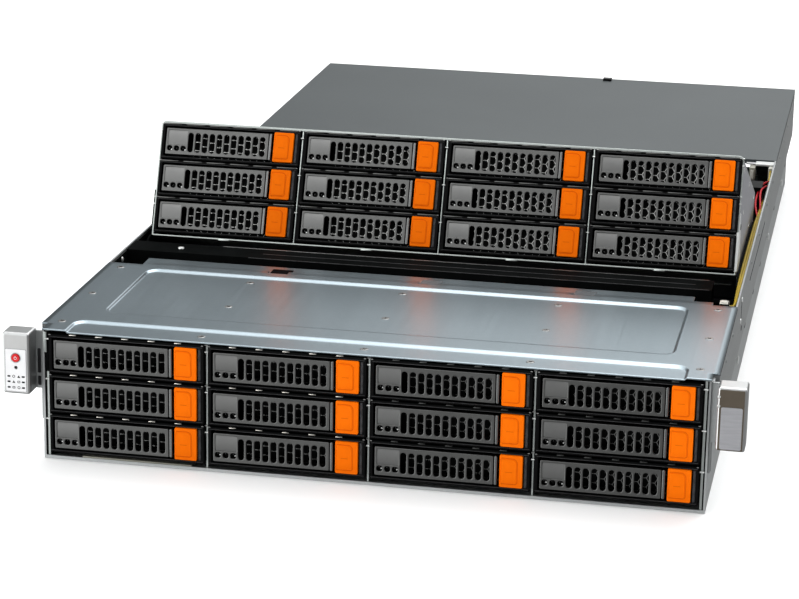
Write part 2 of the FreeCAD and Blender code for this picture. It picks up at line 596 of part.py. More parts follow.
# ---------------------------------------------------------------- write
os.makedirs("parts", exist_ok=True)
for name in sorted(nodes):
    shapes = solids_of(nodes[name])
    moved = []
    for q in shapes:
        q = q.copy()
        q.translate(SHIFT)
        if not q.isValid():
            print("INVALID", name)
        moved.append(q)
    shape = moved[0] if len(moved) == 1 else Part.makeCompound(moved)
    shape.exportStep("parts/%s.step" % name)
print("nodes", len(nodes), "solids", sum(len(solids_of(nodes[n])) for n in nodes))
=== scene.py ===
import math
import random

import bmesh
import bpy
from mathutils import Matrix, Vector


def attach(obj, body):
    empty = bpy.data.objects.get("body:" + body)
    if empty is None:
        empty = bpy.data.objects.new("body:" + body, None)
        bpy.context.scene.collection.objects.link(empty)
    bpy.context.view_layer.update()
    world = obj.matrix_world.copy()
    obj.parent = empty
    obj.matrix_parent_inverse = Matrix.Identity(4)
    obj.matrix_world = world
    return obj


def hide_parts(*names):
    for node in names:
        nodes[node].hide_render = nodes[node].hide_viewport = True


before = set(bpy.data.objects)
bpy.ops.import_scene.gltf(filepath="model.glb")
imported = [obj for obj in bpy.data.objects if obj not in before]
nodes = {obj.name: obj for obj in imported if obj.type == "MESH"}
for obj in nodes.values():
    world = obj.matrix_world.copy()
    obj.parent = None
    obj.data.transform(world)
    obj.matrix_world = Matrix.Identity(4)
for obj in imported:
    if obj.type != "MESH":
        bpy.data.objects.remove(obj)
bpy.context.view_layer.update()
scene = bpy.context.scene
random.seed(7)

# ------------------------------------------------------------------ numbers (mm, front plane at Y = 0)
HALF_DEPTH = 435.0
COL_PITCH = 105.6
ROWS_Z = (72.0, 45.0, 18.0)
COLS_X = tuple((k - 1.5) * COL_PITCH for k in range(4))
LIFT_FACE = 227.0
PIVOT = (0.0, 455.0, 10.0)
TILT = math.radians(21.46)


def P(x, y, z):
    """Millimetres from the front plane to the row frame in metres."""
    return Vector((x * 0.001, (y - HALF_DEPTH) * 0.001, z * 0.001))


def L(x, y, z):
    return Vector((x * 0.001, y * 0.001, z * 0.001))


LIFT = (Matrix.Translation(P(*PIVOT)) @ Matrix.Rotation(-TILT, 4, "X")
        @ Matrix.Translation(-P(*PIVOT)))


# ------------------------------------------------------------------ materials
def new_mat(name):
    m = bpy.data.materials.new(name)
    m.use_nodes = True
    nt = m.node_tree
    for n in list(nt.nodes):
        nt.nodes.remove(n)
    out = nt.nodes.new("ShaderNodeOutputMaterial")
    bs = nt.nodes.new("ShaderNodeBsdfPrincipled")
    nt.links.new(bs.outputs[0], out.inputs[0])
    return m, nt, bs


def coords(nt, scale):
    tc = nt.nodes.new("ShaderNodeTexCoord")
    mp = nt.nodes.new("ShaderNodeMapping")
    mp.inputs["Scale"].default_value = scale
    nt.links.new(tc.outputs["Object"], mp.inputs["Vector"])
    return mp.outputs[0]


def noise(nt, vec, scale, detail=4.0, rough=0.55):
    n = nt.nodes.new("ShaderNodeTexNoise")
    n.inputs["Scale"].default_value = scale
    n.inputs["Detail"].default_value = detail
    n.inputs["Roughness"].default_value = rough
    nt.links.new(vec, n.inputs["Vector"])
    return n


def ramp(nt, fac, stops):
    r = nt.nodes.new("ShaderNodeValToRGB")
    e = r.color_ramp.elements
    while len(e) < len(stops):
        e.new(0.5)
    for i, (pos, col) in enumerate(stops):
        e[i].position = pos
        e[i].color = (col[0], col[1], col[2], 1.0)
    nt.links.new(fac, r.inputs["Fac"])
    return r


def to_range(nt, fac, lo, hi):
    m = nt.nodes.new("ShaderNodeMapRange")
    m.inputs["To Min"].default_value = lo
    m.inputs["To Max"].default_value = hi
    nt.links.new(fac, m.inputs["Value"])
    return m.outputs[0]


def bump(nt, bs, height, strength, distance):
    b = nt.nodes.new("ShaderNodeBump")
    b.inputs["Strength"].default_value = strength
    b.inputs["Distance"].default_value = distance
    nt.links.new(height, b.inputs["Height"])
    nt.links.new(b.outputs[0], bs.inputs["Normal"])


def surface(name, dark, light, metallic, rough, grain=(1, 1, 1), scale=60.0, fine=900.0, bump_s=0.12,
            bump_d=0.0002, spec=None, coat=None):
    """Mottled colour, uneven roughness and a fine surface grain."""
    m, nt, bs = new_mat(name)
    v = coords(nt, grain)
    big = noise(nt, v, scale, 5.0, 0.6)
    small = noise(nt, v, fine, 3.0, 0.5)
    c = ramp(nt, big.outputs["Fac"], [(0.30, dark), (0.70, light)])
    nt.links.new(c.outputs["Color"], bs.inputs["Base Color"])
    bs.inputs["Metallic"].default_value = metallic
    nt.links.new(to_range(nt, small.outputs["Fac"], rough[0], rough[1]), bs.inputs["Roughness"])
    if spec is not None:
        bs.inputs["Specular IOR Level"].default_value = spec
    if coat is not None:
        bs.inputs["Coat Weight"].default_value = coat
        bs.inputs["Coat Roughness"].default_value = 0.2
    bump(nt, bs, small.outputs["Fac"], bump_s, bump_d)
    return m


def galvanised(name, dark, light, rough, metallic=0.8, lines_scale=(900.0, 6.0, 60.0), low=0.0):
    """Zinc coated sheet: clouded colour, a very fine spangle, faint rolling lines in the sheen."""
    m, nt, bs = new_mat(name)
    v = coords(nt, (1, 1, 1))
    cloud = noise(nt, v, 9.0, 3.0, 0.5)
    spangle = noise(nt, v, 420.0, 2.0, 0.4)
    lines = noise(nt, coords(nt, lines_scale), 1.0, 3.0, 0.6)
    mix = nt.nodes.new("ShaderNodeMix")
    mix.data_type = "FLOAT"
    mix.inputs["Factor"].default_value = 0.3
    nt.links.new(cloud.outputs["Fac"], mix.inputs[2])
    nt.links.new(spangle.outputs["Fac"], mix.inputs[3])
    c = ramp(nt, mix.outputs[0], [(0.32, dark), (0.68, light)])
    if low:
        # lighter low down, in the recess for the rails: painted light that lifts the shade under the step
        part = nt.nodes.new("ShaderNodeSeparateXYZ")
        nt.links.new(v, part.inputs[0])
        fade = nt.nodes.new("ShaderNodeMapRange")
        for key, value in (("From Min", 0.036), ("From Max", 0.046), ("To Min", 1.0 + low), ("To Max", 1.0)):
            fade.inputs[key].default_value = value
        nt.links.new(part.outputs["Z"], fade.inputs["Value"])
        scaled = nt.nodes.new("ShaderNodeVectorMath")
        scaled.operation = "SCALE"
        nt.links.new(c.outputs["Color"], scaled.inputs[0])
        nt.links.new(fade.outputs[0], scaled.inputs["Scale"])
        nt.links.new(scaled.outputs[0], bs.inputs["Base Color"])
    else:
        nt.links.new(c.outputs["Color"], bs.inputs["Base Color"])
    bs.inputs["Metallic"].default_value = metallic
    nt.links.new(to_range(nt, lines.outputs["Fac"], rough[0], rough[1]), bs.inputs["Roughness"])
    bump(nt, bs, lines.outputs["Fac"], 0.04, 0.0001)
    return m


M = {}
M["plate"] = galvanised("plate_zinc", (0.271, 0.323, 0.354), (0.316, 0.371, 0.405), (0.27, 0.35), 0.98)
M["wall"] = galvanised("wall_zinc", (0.286, 0.296, 0.298), (0.344, 0.354, 0.356), (0.36, 0.50), 0.70, (60.0, 6.0, 900.0))
# the tub zinc is lighter low down, in the rail recess: painted light against the shade under the step
M["tub"] = galvanised("tub_zinc", (0.286, 0.296, 0.298), (0.344, 0.354, 0.356), (0.36, 0.50), 0.70, (60.0, 6.0, 900.0), 0.42)
M["cage"] = galvanised("cage_zinc", (0.44, 0.47, 0.455), (0.54, 0.57, 0.555), (0.26, 0.38), 0.90)
M["lip"] = galvanised("cage_lip_zinc", (0.37, 0.40, 0.385), (0.46, 0.49, 0.475), (0.24, 0.34), 0.92)
M["side"] = galvanised("cage_side_zinc", (0.33, 0.33, 0.36), (0.40, 0.40, 0.43), (0.34, 0.46), 0.70)
M["cover"] = surface("cover_paint", (0.052, 0.060, 0.063), (0.060, 0.069, 0.072), 0.30, (0.40, 0.52), scale=9.0, fine=1400.0, bump_s=0.08, spec=0.3)
M["gun"] = surface("bezel_gunmetal", (0.122, 0.122, 0.120), (0.152, 0.152, 0.149), 1.0, (0.28, 0.36), grain=(0.5, 1, 1.6), scale=50.0, fine=2600.0, bump_s=0.08, bump_d=0.00008)
M["label"] = surface("bezel_label", (0.170, 0.170, 0.168), (0.192, 0.192, 0.189), 0.90, (0.34, 0.42), scale=80.0, fine=2600.0, bump_s=0.05, bump_d=0.00005)
# lighter copy of the bezel metal for its right-hand strip: painted highlight
M["edge"] = surface("bezel_edge_painted_highlight", (0.185, 0.187, 0.184), (0.225, 0.227, 0.224), 1.0, (0.24, 0.32), scale=120.0, fine=2400.0, bump_s=0.04, bump_d=0.00004)
M["black"] = surface("black_plastic", (0.0015, 0.0015, 0.0017), (0.0032, 0.0032, 0.0035), 0.0, (0.38, 0.50), scale=120.0, fine=2200.0, bump_s=0.12, bump_d=0.00008, spec=0.05)
# dark grey for thin lines on black parts: painted highlight standing for the light caught on their edges
M["line"] = surface("black_plastic_painted_highlight", (0.026, 0.026, 0.027), (0.050, 0.050, 0.052), 0.2, (0.36, 0.46), scale=160.0, fine=2200.0, bump_s=0.08, bump_d=0.00006, spec=0.2)
M["clip"] = surface("clip_grey", (0.018, 0.018, 0.019), (0.062, 0.062, 0.066), 0.2, (0.34, 0.48), grain=(1, 1, 0.6), scale=420.0, fine=2200.0, bump_s=0.2, bump_d=0.0001, spec=0.15)
M["blacksteel"] = surface("black_paint", (0.0022, 0.0025, 0.0025), (0.0048, 0.0054, 0.0054), 0.0, (0.52, 0.64), scale=40.0, fine=1300.0, bump_s=0.12, spec=0.006)
# black for sheets laid where the well and a notch lie in shade: painted shade
M["painted_shade_black"] = surface("black_sheet_painted_shade", (0.002, 0.002, 0.0022), (0.004, 0.004, 0.0043), 0.0, (0.50, 0.62), scale=30.0, fine=1300.0, bump_s=0.10, spec=0.006)
M["orange"] = surface("release_orange", (0.78, 0.132, 0.0005), (0.85, 0.152, 0.0010), 0.0, (0.36, 0.46), scale=90.0, fine=2400.0, bump_s=0.08, bump_d=0.00006, spec=0.03)
# darker orange for the edges of the raised pad and the pressed-in mark on the release button: painted shade
M["orange_painted_shade_line"] = surface("release_orange_painted_shade", (0.57, 0.080, 0.0004), (0.64, 0.096, 0.0008), 0.0, (0.40, 0.5), scale=90.0, fine=2400.0, bump_s=0.05, bump_d=0.00005, spec=0.03)
# steel mesh behind the slots: this darker copy for the front bank is painted shade, the brighter copy below for the
# raised bank is painted light
M["mesh"] = surface("mesh_steel", (0.20, 0.20, 0.197), (0.34, 0.34, 0.335), 1.0, (0.22, 0.36), scale=160.0, fine=1500.0, bump_s=0.05, bump_d=0.00005)
M["mesh_painted_light"] = surface("mesh_steel_painted_light", (0.62, 0.62, 0.60), (0.84, 0.84, 0.82), 0.85, (0.24, 0.38), scale=160.0, fine=1500.0, bump_s=0.05, bump_d=0.00005)
# bright cream for the front lips of the spring tabs: painted highlight
M["tab"] = surface("spring_tab_painted_highlight", (0.88, 0.82, 0.74), (0.97, 0.93, 0.86), 0.92, (0.22, 0.34), scale=200.0, fine=1500.0, bump_s=0.05, bump_d=0.00005)
M["strip"] = surface("spring_strip", (0.19, 0.19, 0.186), (0.28, 0.28, 0.275), 0.9, (0.28, 0.40), scale=200.0, fine=1500.0, bump_s=0.05, bump_d=0.00005)
# darker copy of the spring strip metal: painted shade
M["dim"] = surface("spring_strip_painted_shade", (0.075, 0.075, 0.073), (0.125, 0.125, 0.122), 0.9, (0.30, 0.42), scale=200.0, fine=1500.0, bump_s=0.05, bump_d=0.00005)
# darker copy of the zinc for the shelf under the notches, which lies in shadow: painted shade
M["shade"] = galvanised("notch_zinc_painted_shade", (0.085, 0.096, 0.103), (0.110, 0.123, 0.131), (0.42, 0.52), 0.70)
M["nickel"] = surface("nickel", (0.60, 0.60, 0.59), (0.76, 0.76, 0.75), 1.0, (0.20, 0.34), scale=140.0, fine=1500.0, bump_s=0.06)
M["bright"] = surface("bright_steel", (0.64, 0.65, 0.64), (0.74, 0.75, 0.74), 0.60, (0.24, 0.36), scale=120.0, fine=1500.0, bump_s=0.05)
M["drive"] = surface("drive_casting", (0.34, 0.35, 0.36), (0.46, 0.47, 0.48), 1.0, (0.34, 0.5), scale=40.0, fine=800.0, bump_s=0.14)
M["drivelid"] = surface("drive_lid", (0.58, 0.59, 0.60), (0.70, 0.71, 0.72), 1.0, (0.22, 0.34), grain=(1, 14, 1), scale=60.0, fine=700.0, bump_s=0.05)
M["ear"] = surface("ear_silver", (0.50, 0.505, 0.505), (0.56, 0.565, 0.565), 1.0, (0.31, 0.39), scale=40.0, fine=1800.0, bump_s=0.03, bump_d=0.00005)
M["overlay"] = surface("overlay_sheet", (0.74, 0.74, 0.75), (0.80, 0.80, 0.81), 0.0, (0.36, 0.46), scale=60.0, fine=2200.0, bump_s=0.04, bump_d=0.00004, spec=0.2)
M["earface"] = surface("ear_face", (0.45, 0.45, 0.448), (0.50, 0.50, 0.497), 0.2, (0.34, 0.44), grain=(1, 1, 0.4), scale=70.0, fine=2000.0, bump_s=0.06, bump_d=0.00006, spec=0.35)
M["inset"] = surface("ear_inset", (0.078, 0.063, 0.047), (0.098, 0.080, 0.060), 0.2, (0.36, 0.46), scale=60.0, fine=2000.0, bump_s=0.08, bump_d=0.00006, spec=0.2)
M["badge"] = surface("badge_plate", (0.262, 0.262, 0.277), (0.312, 0.312, 0.328), 0.15, (0.36, 0.46), grain=(1, 1, 12), scale=60.0, fine=900.0, bump_s=0.04, bump_d=0.00005, spec=0.3)
M["red"] = surface("button_red", (0.62, 0.012, 0.016), (0.74, 0.022, 0.026), 0.0, (0.22, 0.32), scale=120.0, fine=2200.0, bump_s=0.05, bump_d=0.00004, spec=0.3)
# dark print, also used as flat dark patches for the shade inside holes, slots, grooves, seams and screw crosses:
# painted shade
M["mark"] = surface("dark_print_and_painted_shade", (0.010, 0.010, 0.011), (0.022, 0.022, 0.024), 0.0, (0.4, 0.5), scale=200.0, fine=2400.0, bump_s=0.03, bump_d=0.00003, spec=0.1)
M["pcb"] = surface("board_green", (0.006, 0.030, 0.016), (0.012, 0.060, 0.032), 0.0, (0.30, 0.44), grain=(1, 3, 1), scale=220.0, fine=1600.0, bump_s=0.12, spec=0.3)
M["pcbblack"] = surface("board_black", (0.006, 0.008, 0.008), (0.012, 0.015, 0.014), 0.0, (0.34, 0.46), grain=(1, 3, 1), scale=220.0, fine=1600.0, bump_s=0.12, spec=0.15)
M["white"] = surface("connector_white", (0.44, 0.43, 0.385), (0.54, 0.53, 0.48), 0.0, (0.40, 0.52), scale=120.0, fine=2000.0, bump_s=0.06, spec=0.3)
M["card"] = surface("card_olive", (0.21, 0.205, 0.17), (0.29, 0.285, 0.24), 0.3, (0.36, 0.50), grain=(0.2, 1, 1), scale=90.0, fine=1500.0, bump_s=0.05, bump_d=0.00005, spec=0.2)
M["yellow"] = surface("wire_yellow", (0.27, 0.185, 0.006), (0.40, 0.28, 0.012), 0.0, (0.34, 0.46), grain=(1, 0.3, 1), scale=120.0, fine=1800.0, bump_s=0.08, spec=0.3)
M["redwire"] = surface("wire_red", (0.34, 0.007, 0.012), (0.46, 0.016, 0.024), 0.0, (0.40, 0.52), grain=(1, 0.3, 1), scale=120.0, fine=1800.0, bump_s=0.08, spec=0.15)
M["greywire"] = surface("wire_black", (0.010, 0.010, 0.010), (0.024, 0.024, 0.023), 0.0, (0.34, 0.46), grain=(1, 0.3, 1), scale=120.0, fine=1800.0, bump_s=0.08, spec=0.3)
M["sink"] = surface("heatsink", (0.55, 0.56, 0.58), (0.70, 0.71, 0.73), 1.0, (0.28, 0.42), grain=(1, 8, 1), scale=60.0, fine=900.0, bump_s=0.06)
M["steel"] = surface("plain_steel", (0.36, 0.36, 0.37), (0.50, 0.50, 0.51), 1.0, (0.26, 0.40), grain=(10, 1, 1), scale=40.0, fine=900.0, bump_s=0.06)
M["gold"] = surface("contact_gold", (0.62, 0.42, 0.12), (0.80, 0.58, 0.22), 1.0, (0.22, 0.34), scale=160.0, fine=1600.0, bump_s=0.05)
M["green"] = surface("latch_green", (0.02, 0.20, 0.10), (0.04, 0.28, 0.14), 0.0, (0.34, 0.46), scale=120.0, fine=2000.0, bump_s=0.06, spec=0.3)
M["blue"] = surface("socket_blue", (0.010, 0.045, 0.22), (0.018, 0.070, 0.30), 0.0, (0.36, 0.48), scale=120.0, fine=2000.0, bump_s=0.06, spec=0.3)
M["chip"] = surface("chip_black", (0.010, 0.010, 0.011), (0.022, 0.022, 0.024), 0.0, (0.40, 0.56), scale=160.0, fine=2200.0, bump_s=0.1, spec=0.25)
M["copper"] = surface("coil_copper", (0.40, 0.16, 0.07), (0.56, 0.25, 0.11), 1.0, (0.28, 0.42), scale=200.0, fine=1600.0, bump_s=0.08)


# ------------------------------------------------------------------ mesh helpers
def rrect(x0, x1, z0, z1, r, n=5):
    pts = []
    for cx, cz, a0 in ((x1 - r, z0 + r, -90), (x1 - r, z1 - r, 0), (x0 + r, z1 - r, 90), (x0 + r, z0 + r, 180)):
        for k in range(n + 1):
            a = math.radians(a0 + 90.0 * k / n)
            pts.append((cx + r * math.cos(a), cz + r * math.sin(a)))
    return pts


def rrect4(x0, x1, z0, z1, radii, n=5):
    """Corner radii: low right, high right, high left, low left."""
    pts = []
    rs = radii
    for cx, cz, a0, r in ((x1 - rs[0], z0 + rs[0], -90, rs[0]), (x1 - rs[1], z1 - rs[1], 0, rs[1]),
                          (x0 + rs[2], z1 - rs[2], 90, rs[2]), (x0 + rs[3], z0 + rs[3], 180, rs[3])):
        for k in range(n + 1):
            a = math.radians(a0 + 90.0 * k / n)
            pts.append((cx + r * math.cos(a), cz + r * math.sin(a)))
    return pts


def circle(cx, cz, r, n=20):
    return [(cx + r * math.cos(2 * math.pi * k / n), cz + r * math.sin(2 * math.pi * k / n)) for k in range(n)]


def front_plate(loops, y0, y1, bev=0.3, res=2):
    """A flat piece facing -Y with holes, rounded over at its edges. Loops are (x, z) in mm."""
    cu = bpy.data.curves.new("tmp", "CURVE")
    cu.dimensions = "2D"
    cu.fill_mode = "BOTH"
    cu.extrude = max((y1 - y0) * 0.0005 - bev * 0.001, 0.00001)
    cu.bevel_depth = bev * 0.001
    cu.bevel_resolution = res
    cu.offset = -bev * 0.001
    for lp in loops:
        sp = cu.splines.new("POLY")
        sp.points.add(len(lp) - 1)
        for i, (x, z) in enumerate(lp):
            sp.points[i].co = (x * 0.001, z * 0.001, 0, 1)
        sp.use_cyclic_u = True
    ob = bpy.data.objects.new("tmp", cu)
    scene.collection.objects.link(ob)
    dg = bpy.context.evaluated_depsgraph_get()
    me = bpy.data.meshes.new_from_object(ob.evaluated_get(dg))
    bpy.data.objects.remove(ob)
    bpy.data.curves.remove(cu)
    me.transform(Matrix.Translation((0, (y0 + y1) * 0.0005, 0)) @ Matrix.Rotation(math.pi / 2, 4, "X"))
    return me


def wall_plate(loops, x0, x1, bev=0.2, res=2):
    """A flat piece facing +X and -X. Loops are (y, z) in mm."""
    me = front_plate(loops, x0, x1, bev, res)
    me.transform(Matrix(((0, 1, 0, 0), (1, 0, 0, 0), (0, 0, 1, 0), (0, 0, 0, 1))))
    me.flip_normals()
    return me


def flat_plate(loops, z0, z1, bev=0.2, res=2):
    """A flat piece facing up and down. Loops are (x, y) in mm."""
    me = front_plate(loops, z0, z1, bev, res)
    me.transform(Matrix(((1, 0, 0, 0), (0, 0, 1, 0), (0, 1, 0, 0), (0, 0, 0, 1))))
    me.flip_normals()
    return me


def rbox(x0, x1, y0, y1, z0, z1, bev=0.4, seg=2):
    bm = bmesh.new()
    bmesh.ops.create_cube(bm, size=1.0)
    for v in bm.verts:
        v.co = Vector(((x0 + x1) / 2 + v.co.x * (x1 - x0), (y0 + y1) / 2 + v.co.y * (y1 - y0),
                       (z0 + z1) / 2 + v.co.z * (z1 - z0))) * 0.001
    if bev > 0:
        bmesh.ops.bevel(bm, geom=list(bm.edges), offset=bev * 0.001, segments=seg, profile=0.6, affect="EDGES")
    me = bpy.data.meshes.new("rbox")
    bm.to_mesh(me)
    bm.free()
    return me


def tube(points, r, sides=10, caps=True):
    """A round bar along points (mm)."""
    bm = bmesh.new()
    rings = []
    n = len(points)
    pts = [Vector(p) for p in points]
    ref = Vector((0.31, 0.17, 0.93)).normalized()
    for i, p in enumerate(pts):
        d = (pts[min(i + 1, n - 1)] - pts[max(i - 1, 0)]).normalized()
        u = d.cross(ref)
        if u.length < 1e-3:
            u = d.cross(Vector((1, 0, 0)))
        u.normalize()
        w = d.cross(u).normalized()
        rings.append([bm.verts.new((p + (u * math.cos(a) + w * math.sin(a)) * r) * 0.001)
                      for a in [2 * math.pi * k / sides for k in range(sides)]])
    for a, b in zip(rings, rings[1:]):
        for k in range(sides):
            bm.faces.new((a[k], a[(k + 1) % sides], b[(k + 1) % sides], b[k]))
    if caps:
        bm.faces.new(list(reversed(rings[0])))
        bm.faces.new(rings[-1])
    bmesh.ops.recalc_face_normals(bm, faces=list(bm.faces))
    me = bpy.data.meshes.new("tube")
    bm.to_mesh(me)
    bm.free()
    return me


def lathe(profile, axis_pt, axis="Y", sides=32, direction=1):
    """Turned piece: profile is (radius, along) in mm, along the axis from axis_pt."""
    bm = bmesh.new()
    rings = []
    for r, t in profile:
        ring = []
        for k in range(sides):
            a = 2 * math.pi * k / sides
            if axis == "Y":
                q = Vector((axis_pt[0] + r * math.cos(a), axis_pt[1] + t * direction, axis_pt[2] + r * math.sin(a)))
            elif axis == "Z":
                q = Vector((axis_pt[0] + r * math.cos(a), axis_pt[1] + r * math.sin(a), axis_pt[2] + t * direction))
            else:
                q = Vector((axis_pt[0] + t * direction, axis_pt[1] + r * math.cos(a), axis_pt[2] + r * math.sin(a)))
            ring.append(bm.verts.new(q * 0.001))
        rings.append(ring)
    for a, b in zip(rings, rings[1:]):
        for k in range(sides):
            bm.faces.new((a[k], a[(k + 1) % sides], b[(k + 1) % sides], b[k]))
    bm.faces.new(rings[0])
    bm.faces.new(rings[-1])
    bmesh.ops.recalc_face_normals(bm, faces=list(bm.faces))
    me = bpy.data.meshes.new("lathe")
    bm.to_mesh(me)
    bm.free()
    return me


def hexmesh(x0, x1, z0, z1, y, cell, web, thick):
    """Perforated sheet of hexagonal holes facing -Y."""
    bm = bmesh.new()
    s = cell / math.sqrt(3.0)
    col = 0
    x = x0
    while x <= x1 + 0.01:
        z = z0 + (cell / 2.0 if col % 2 else 0.0)
        while z <= z1 + 0.01:
            outer, inner = [], []
            k2 = (cell - web) / cell
            for k in range(6):
                a = math.radians(60.0 * k)
                outer.append(bm.verts.new(Vector((x + s * math.cos(a), y, z + s * math.sin(a))) * 0.001))
                inner.append(bm.verts.new(Vector((x + s * k2 * math.cos(a), y, z + s * k2 * math.sin(a))) * 0.001))
            for k in range(6):
                bm.faces.new((outer[k], inner[k], inner[(k + 1) % 6], outer[(k + 1) % 6]))
            z += cell
        x += 1.5 * s
        col += 1
    bmesh.ops.remove_doubles(bm, verts=list(bm.verts), dist=0.00002)
    ret = bmesh.ops.extrude_face_region(bm, geom=list(bm.faces))
    for g in ret["geom"]:
        if isinstance(g, bmesh.types.BMVert):
            g.co.y += thick * 0.001
    bmesh.ops.recalc_face_normals(bm, faces=list(bm.faces))
    me = bpy.data.meshes.new("hexmesh")
    bm.to_mesh(me)
    bm.free()
    return me


def pillow(x0, x1, z0, z1, y, depth, bulge, rows=8):
    """A block whose -Y face is rounded a little from top to bottom."""
    bm = bmesh.new()
    front = []
    for k in range(rows + 1):
        t = k / rows
        yy = y - bulge * (1.0 - (2.0 * t - 1.0) ** 2)
        front.append([bm.verts.new(L(x, yy, z0 + (z1 - z0) * t)) for x in (x0, x1)])
    rear = [[bm.verts.new(L(x, y + depth, z)) for x in (x0, x1)] for z in (z0, z1)]
    for a, b in zip(front, front[1:]):
        bm.faces.new((a[0], a[1], b[1], b[0]))
    bm.faces.new((rear[0][0], rear[1][0], rear[1][1], rear[0][1]))
    bm.faces.new((front[0][0], rear[0][0], rear[0][1], front[0][1]))
    bm.faces.new((front[-1][0], front[-1][1], rear[1][1], rear[1][0]))
    bm.faces.new([f[0] for f in front] + [rear[1][0], rear[0][0]])
    bm.faces.new([f[1] for f in reversed(front)] + [rear[0][1], rear[1][1]])
    bmesh.ops.recalc_face_normals(bm, faces=list(bm.faces))
    me = bpy.data.meshes.new("pillow")
    bm.to_mesh(me)
    bm.free()
    return me


def assemble(name, parts, smooth=35.0):
    """One mesh from (mesh, material key) pairs, the material kept per face."""
    bm = bmesh.new()
    keys = []
    for me, key in parts:
        if key not in keys:
            keys.append(key)
        idx = keys.index(key)
        before = len(bm.faces)
        bm.from_mesh(me)
        bm.faces.ensure_lookup_table()
        for f in bm.faces[before:]:
            f.material_index = idx
            f.smooth = True
    out = bpy.data.meshes.new(name)
    bm.to_mesh(out)
    bm.free()
    for k in keys:
        out.materials.append(M[k])
    out.set_sharp_from_angle(angle=math.radians(smooth))
    for me, key in parts:
        if me.users == 0:
            bpy.data.meshes.remove(me)
    return out


def put(name, mesh, body, matrix=None, replaces=()):
    ob = bpy.data.objects.new(name, mesh)
    scene.collection.objects.link(ob)
    if matrix is not None:
        ob.matrix_world = matrix
    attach(ob, body)
    if replaces:
        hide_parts(*replaces)
    return ob


def shifted(me, dx=0.0, dy=0.0, dz=0.0):
    me.transform(Matrix.Translation((dx * 0.001, dy * 0.001, dz * 0.001)))
    return me


ROW = Matrix.Translation((0, -HALF_DEPTH * 0.001, 0))     # front-plane mm meshes to the row frame

# ------------------------------------------------------------------ drive carriers
LX0, LX1, LZ0, LZ1 = -47.7, 30.6, -9.6, 9.4
LEDS = (-44.6, -39.5, -34.5)
TABS = tuple(-35.5 + 17.4 * k for k in range(5))


def slot_loops():
    return [rrect(-31.3 + 5.345 * k, -27.4 + 5.345 * k, -7.6, 6.6, 1.94, 6) for k in range(11)]


def lever_parts(raised=False):
    led = [rrect(x - 1.95, x + 1.95, -7.1, -3.3, 1.6, 5) for x in LEDS]
    label = rrect(-46.2, -32.2, -2.4, 8.0, 0.5, 3)
    face = front_plate([rrect(LX0, 28.3, LZ0, LZ1, 0.7, 4), label] + led + slot_loops(), -3.0, -0.8, 0.30, 3)
    # the strip at the bezel's right end is coloured lighter than the bezel: painted highlight
    strip = front_plate([rrect(28.9, LX1, LZ0, LZ1, 0.5, 3)], -3.0, -0.8, 0.30, 2)
    back = front_plate([rrect(LX0 + 0.2, LX1 - 0.2, LZ0 + 0.2, LZ1 - 0.2, 0.7, 4)] + led
                       + [rrect(-32.6, 28.2, -8.4, 7.4, 1.2, 4)], -0.9, 5.3, 0.1, 1)
    lab = pillow(-46.3, -32.1, -2.5, 8.1, -2.45, 1.2, 0.36)
    pipes = [(front_plate([rrect(x - 1.7, x + 1.7, -6.85, -3.55, 1.3, 4)], -0.2, 4.6, 0.3, 2), "black") for x in LEDS]
    # bright specks inside the lamp holes: painted highlight
    painted_glint = [(rbox(x + 0.35, x + 1.3, -0.6, -0.1, -6.4, -5.4, 0.2, 2), "bright") for x in LEDS[:1] + LEDS[2:]]
    painted_glint += [(rbox(x - 0.9, x - 0.5, -0.5, -0.1, -5.4, -4.4, 0.15, 1), "strip") for x in LEDS]
    # brighter mesh on the raised bank, darker on the front bank: painted light and painted shade
    hexm = hexmesh(-25.5, 28.0, -8.2, 7.6, 3.9, 6.1, 0.36, 0.35)
    return [(face, "gun"), (strip, "edge"), (back, "black"), (lab, "label"), (hexm, "mesh_painted_light" if raised else "mesh")] + pipes + painted_glint


def button_parts():
    body = front_plate([rrect(32.3, 46.9, -10.6, 10.8, 0.9, 4)], -3.4, 3.0, 0.45, 3)
    d_out = rrect4(33.2, 43.9, -8.5, 9.0, (1.8, 3.4, 0.5, 0.5), 6)
    d_in = rrect4(33.2, 43.4, -8.0, 8.5, (1.4, 3.0, 0.3, 0.3), 6)
    pad = front_plate([rrect4(33.5, 43.1, -7.7, 8.2, (1.2, 2.8, 0.3, 0.3), 6)], -3.66, -3.1, 0.22, 3)
    # darker orange ring round the raised pad and darker orange dash for the pressed-in mark: painted shade
    line = front_plate([d_out, d_in], -3.47, -3.2, 0.05, 1)
    mark = front_plate([rrect(36.0, 40.6, -0.50, -0.05, 0.15, 2)], -3.72, -3.4, 0.05, 1)
    return [(body, "orange"), (pad, "orange"), (line, "orange_painted_shade_line"), (mark, "orange_painted_shade_line")]


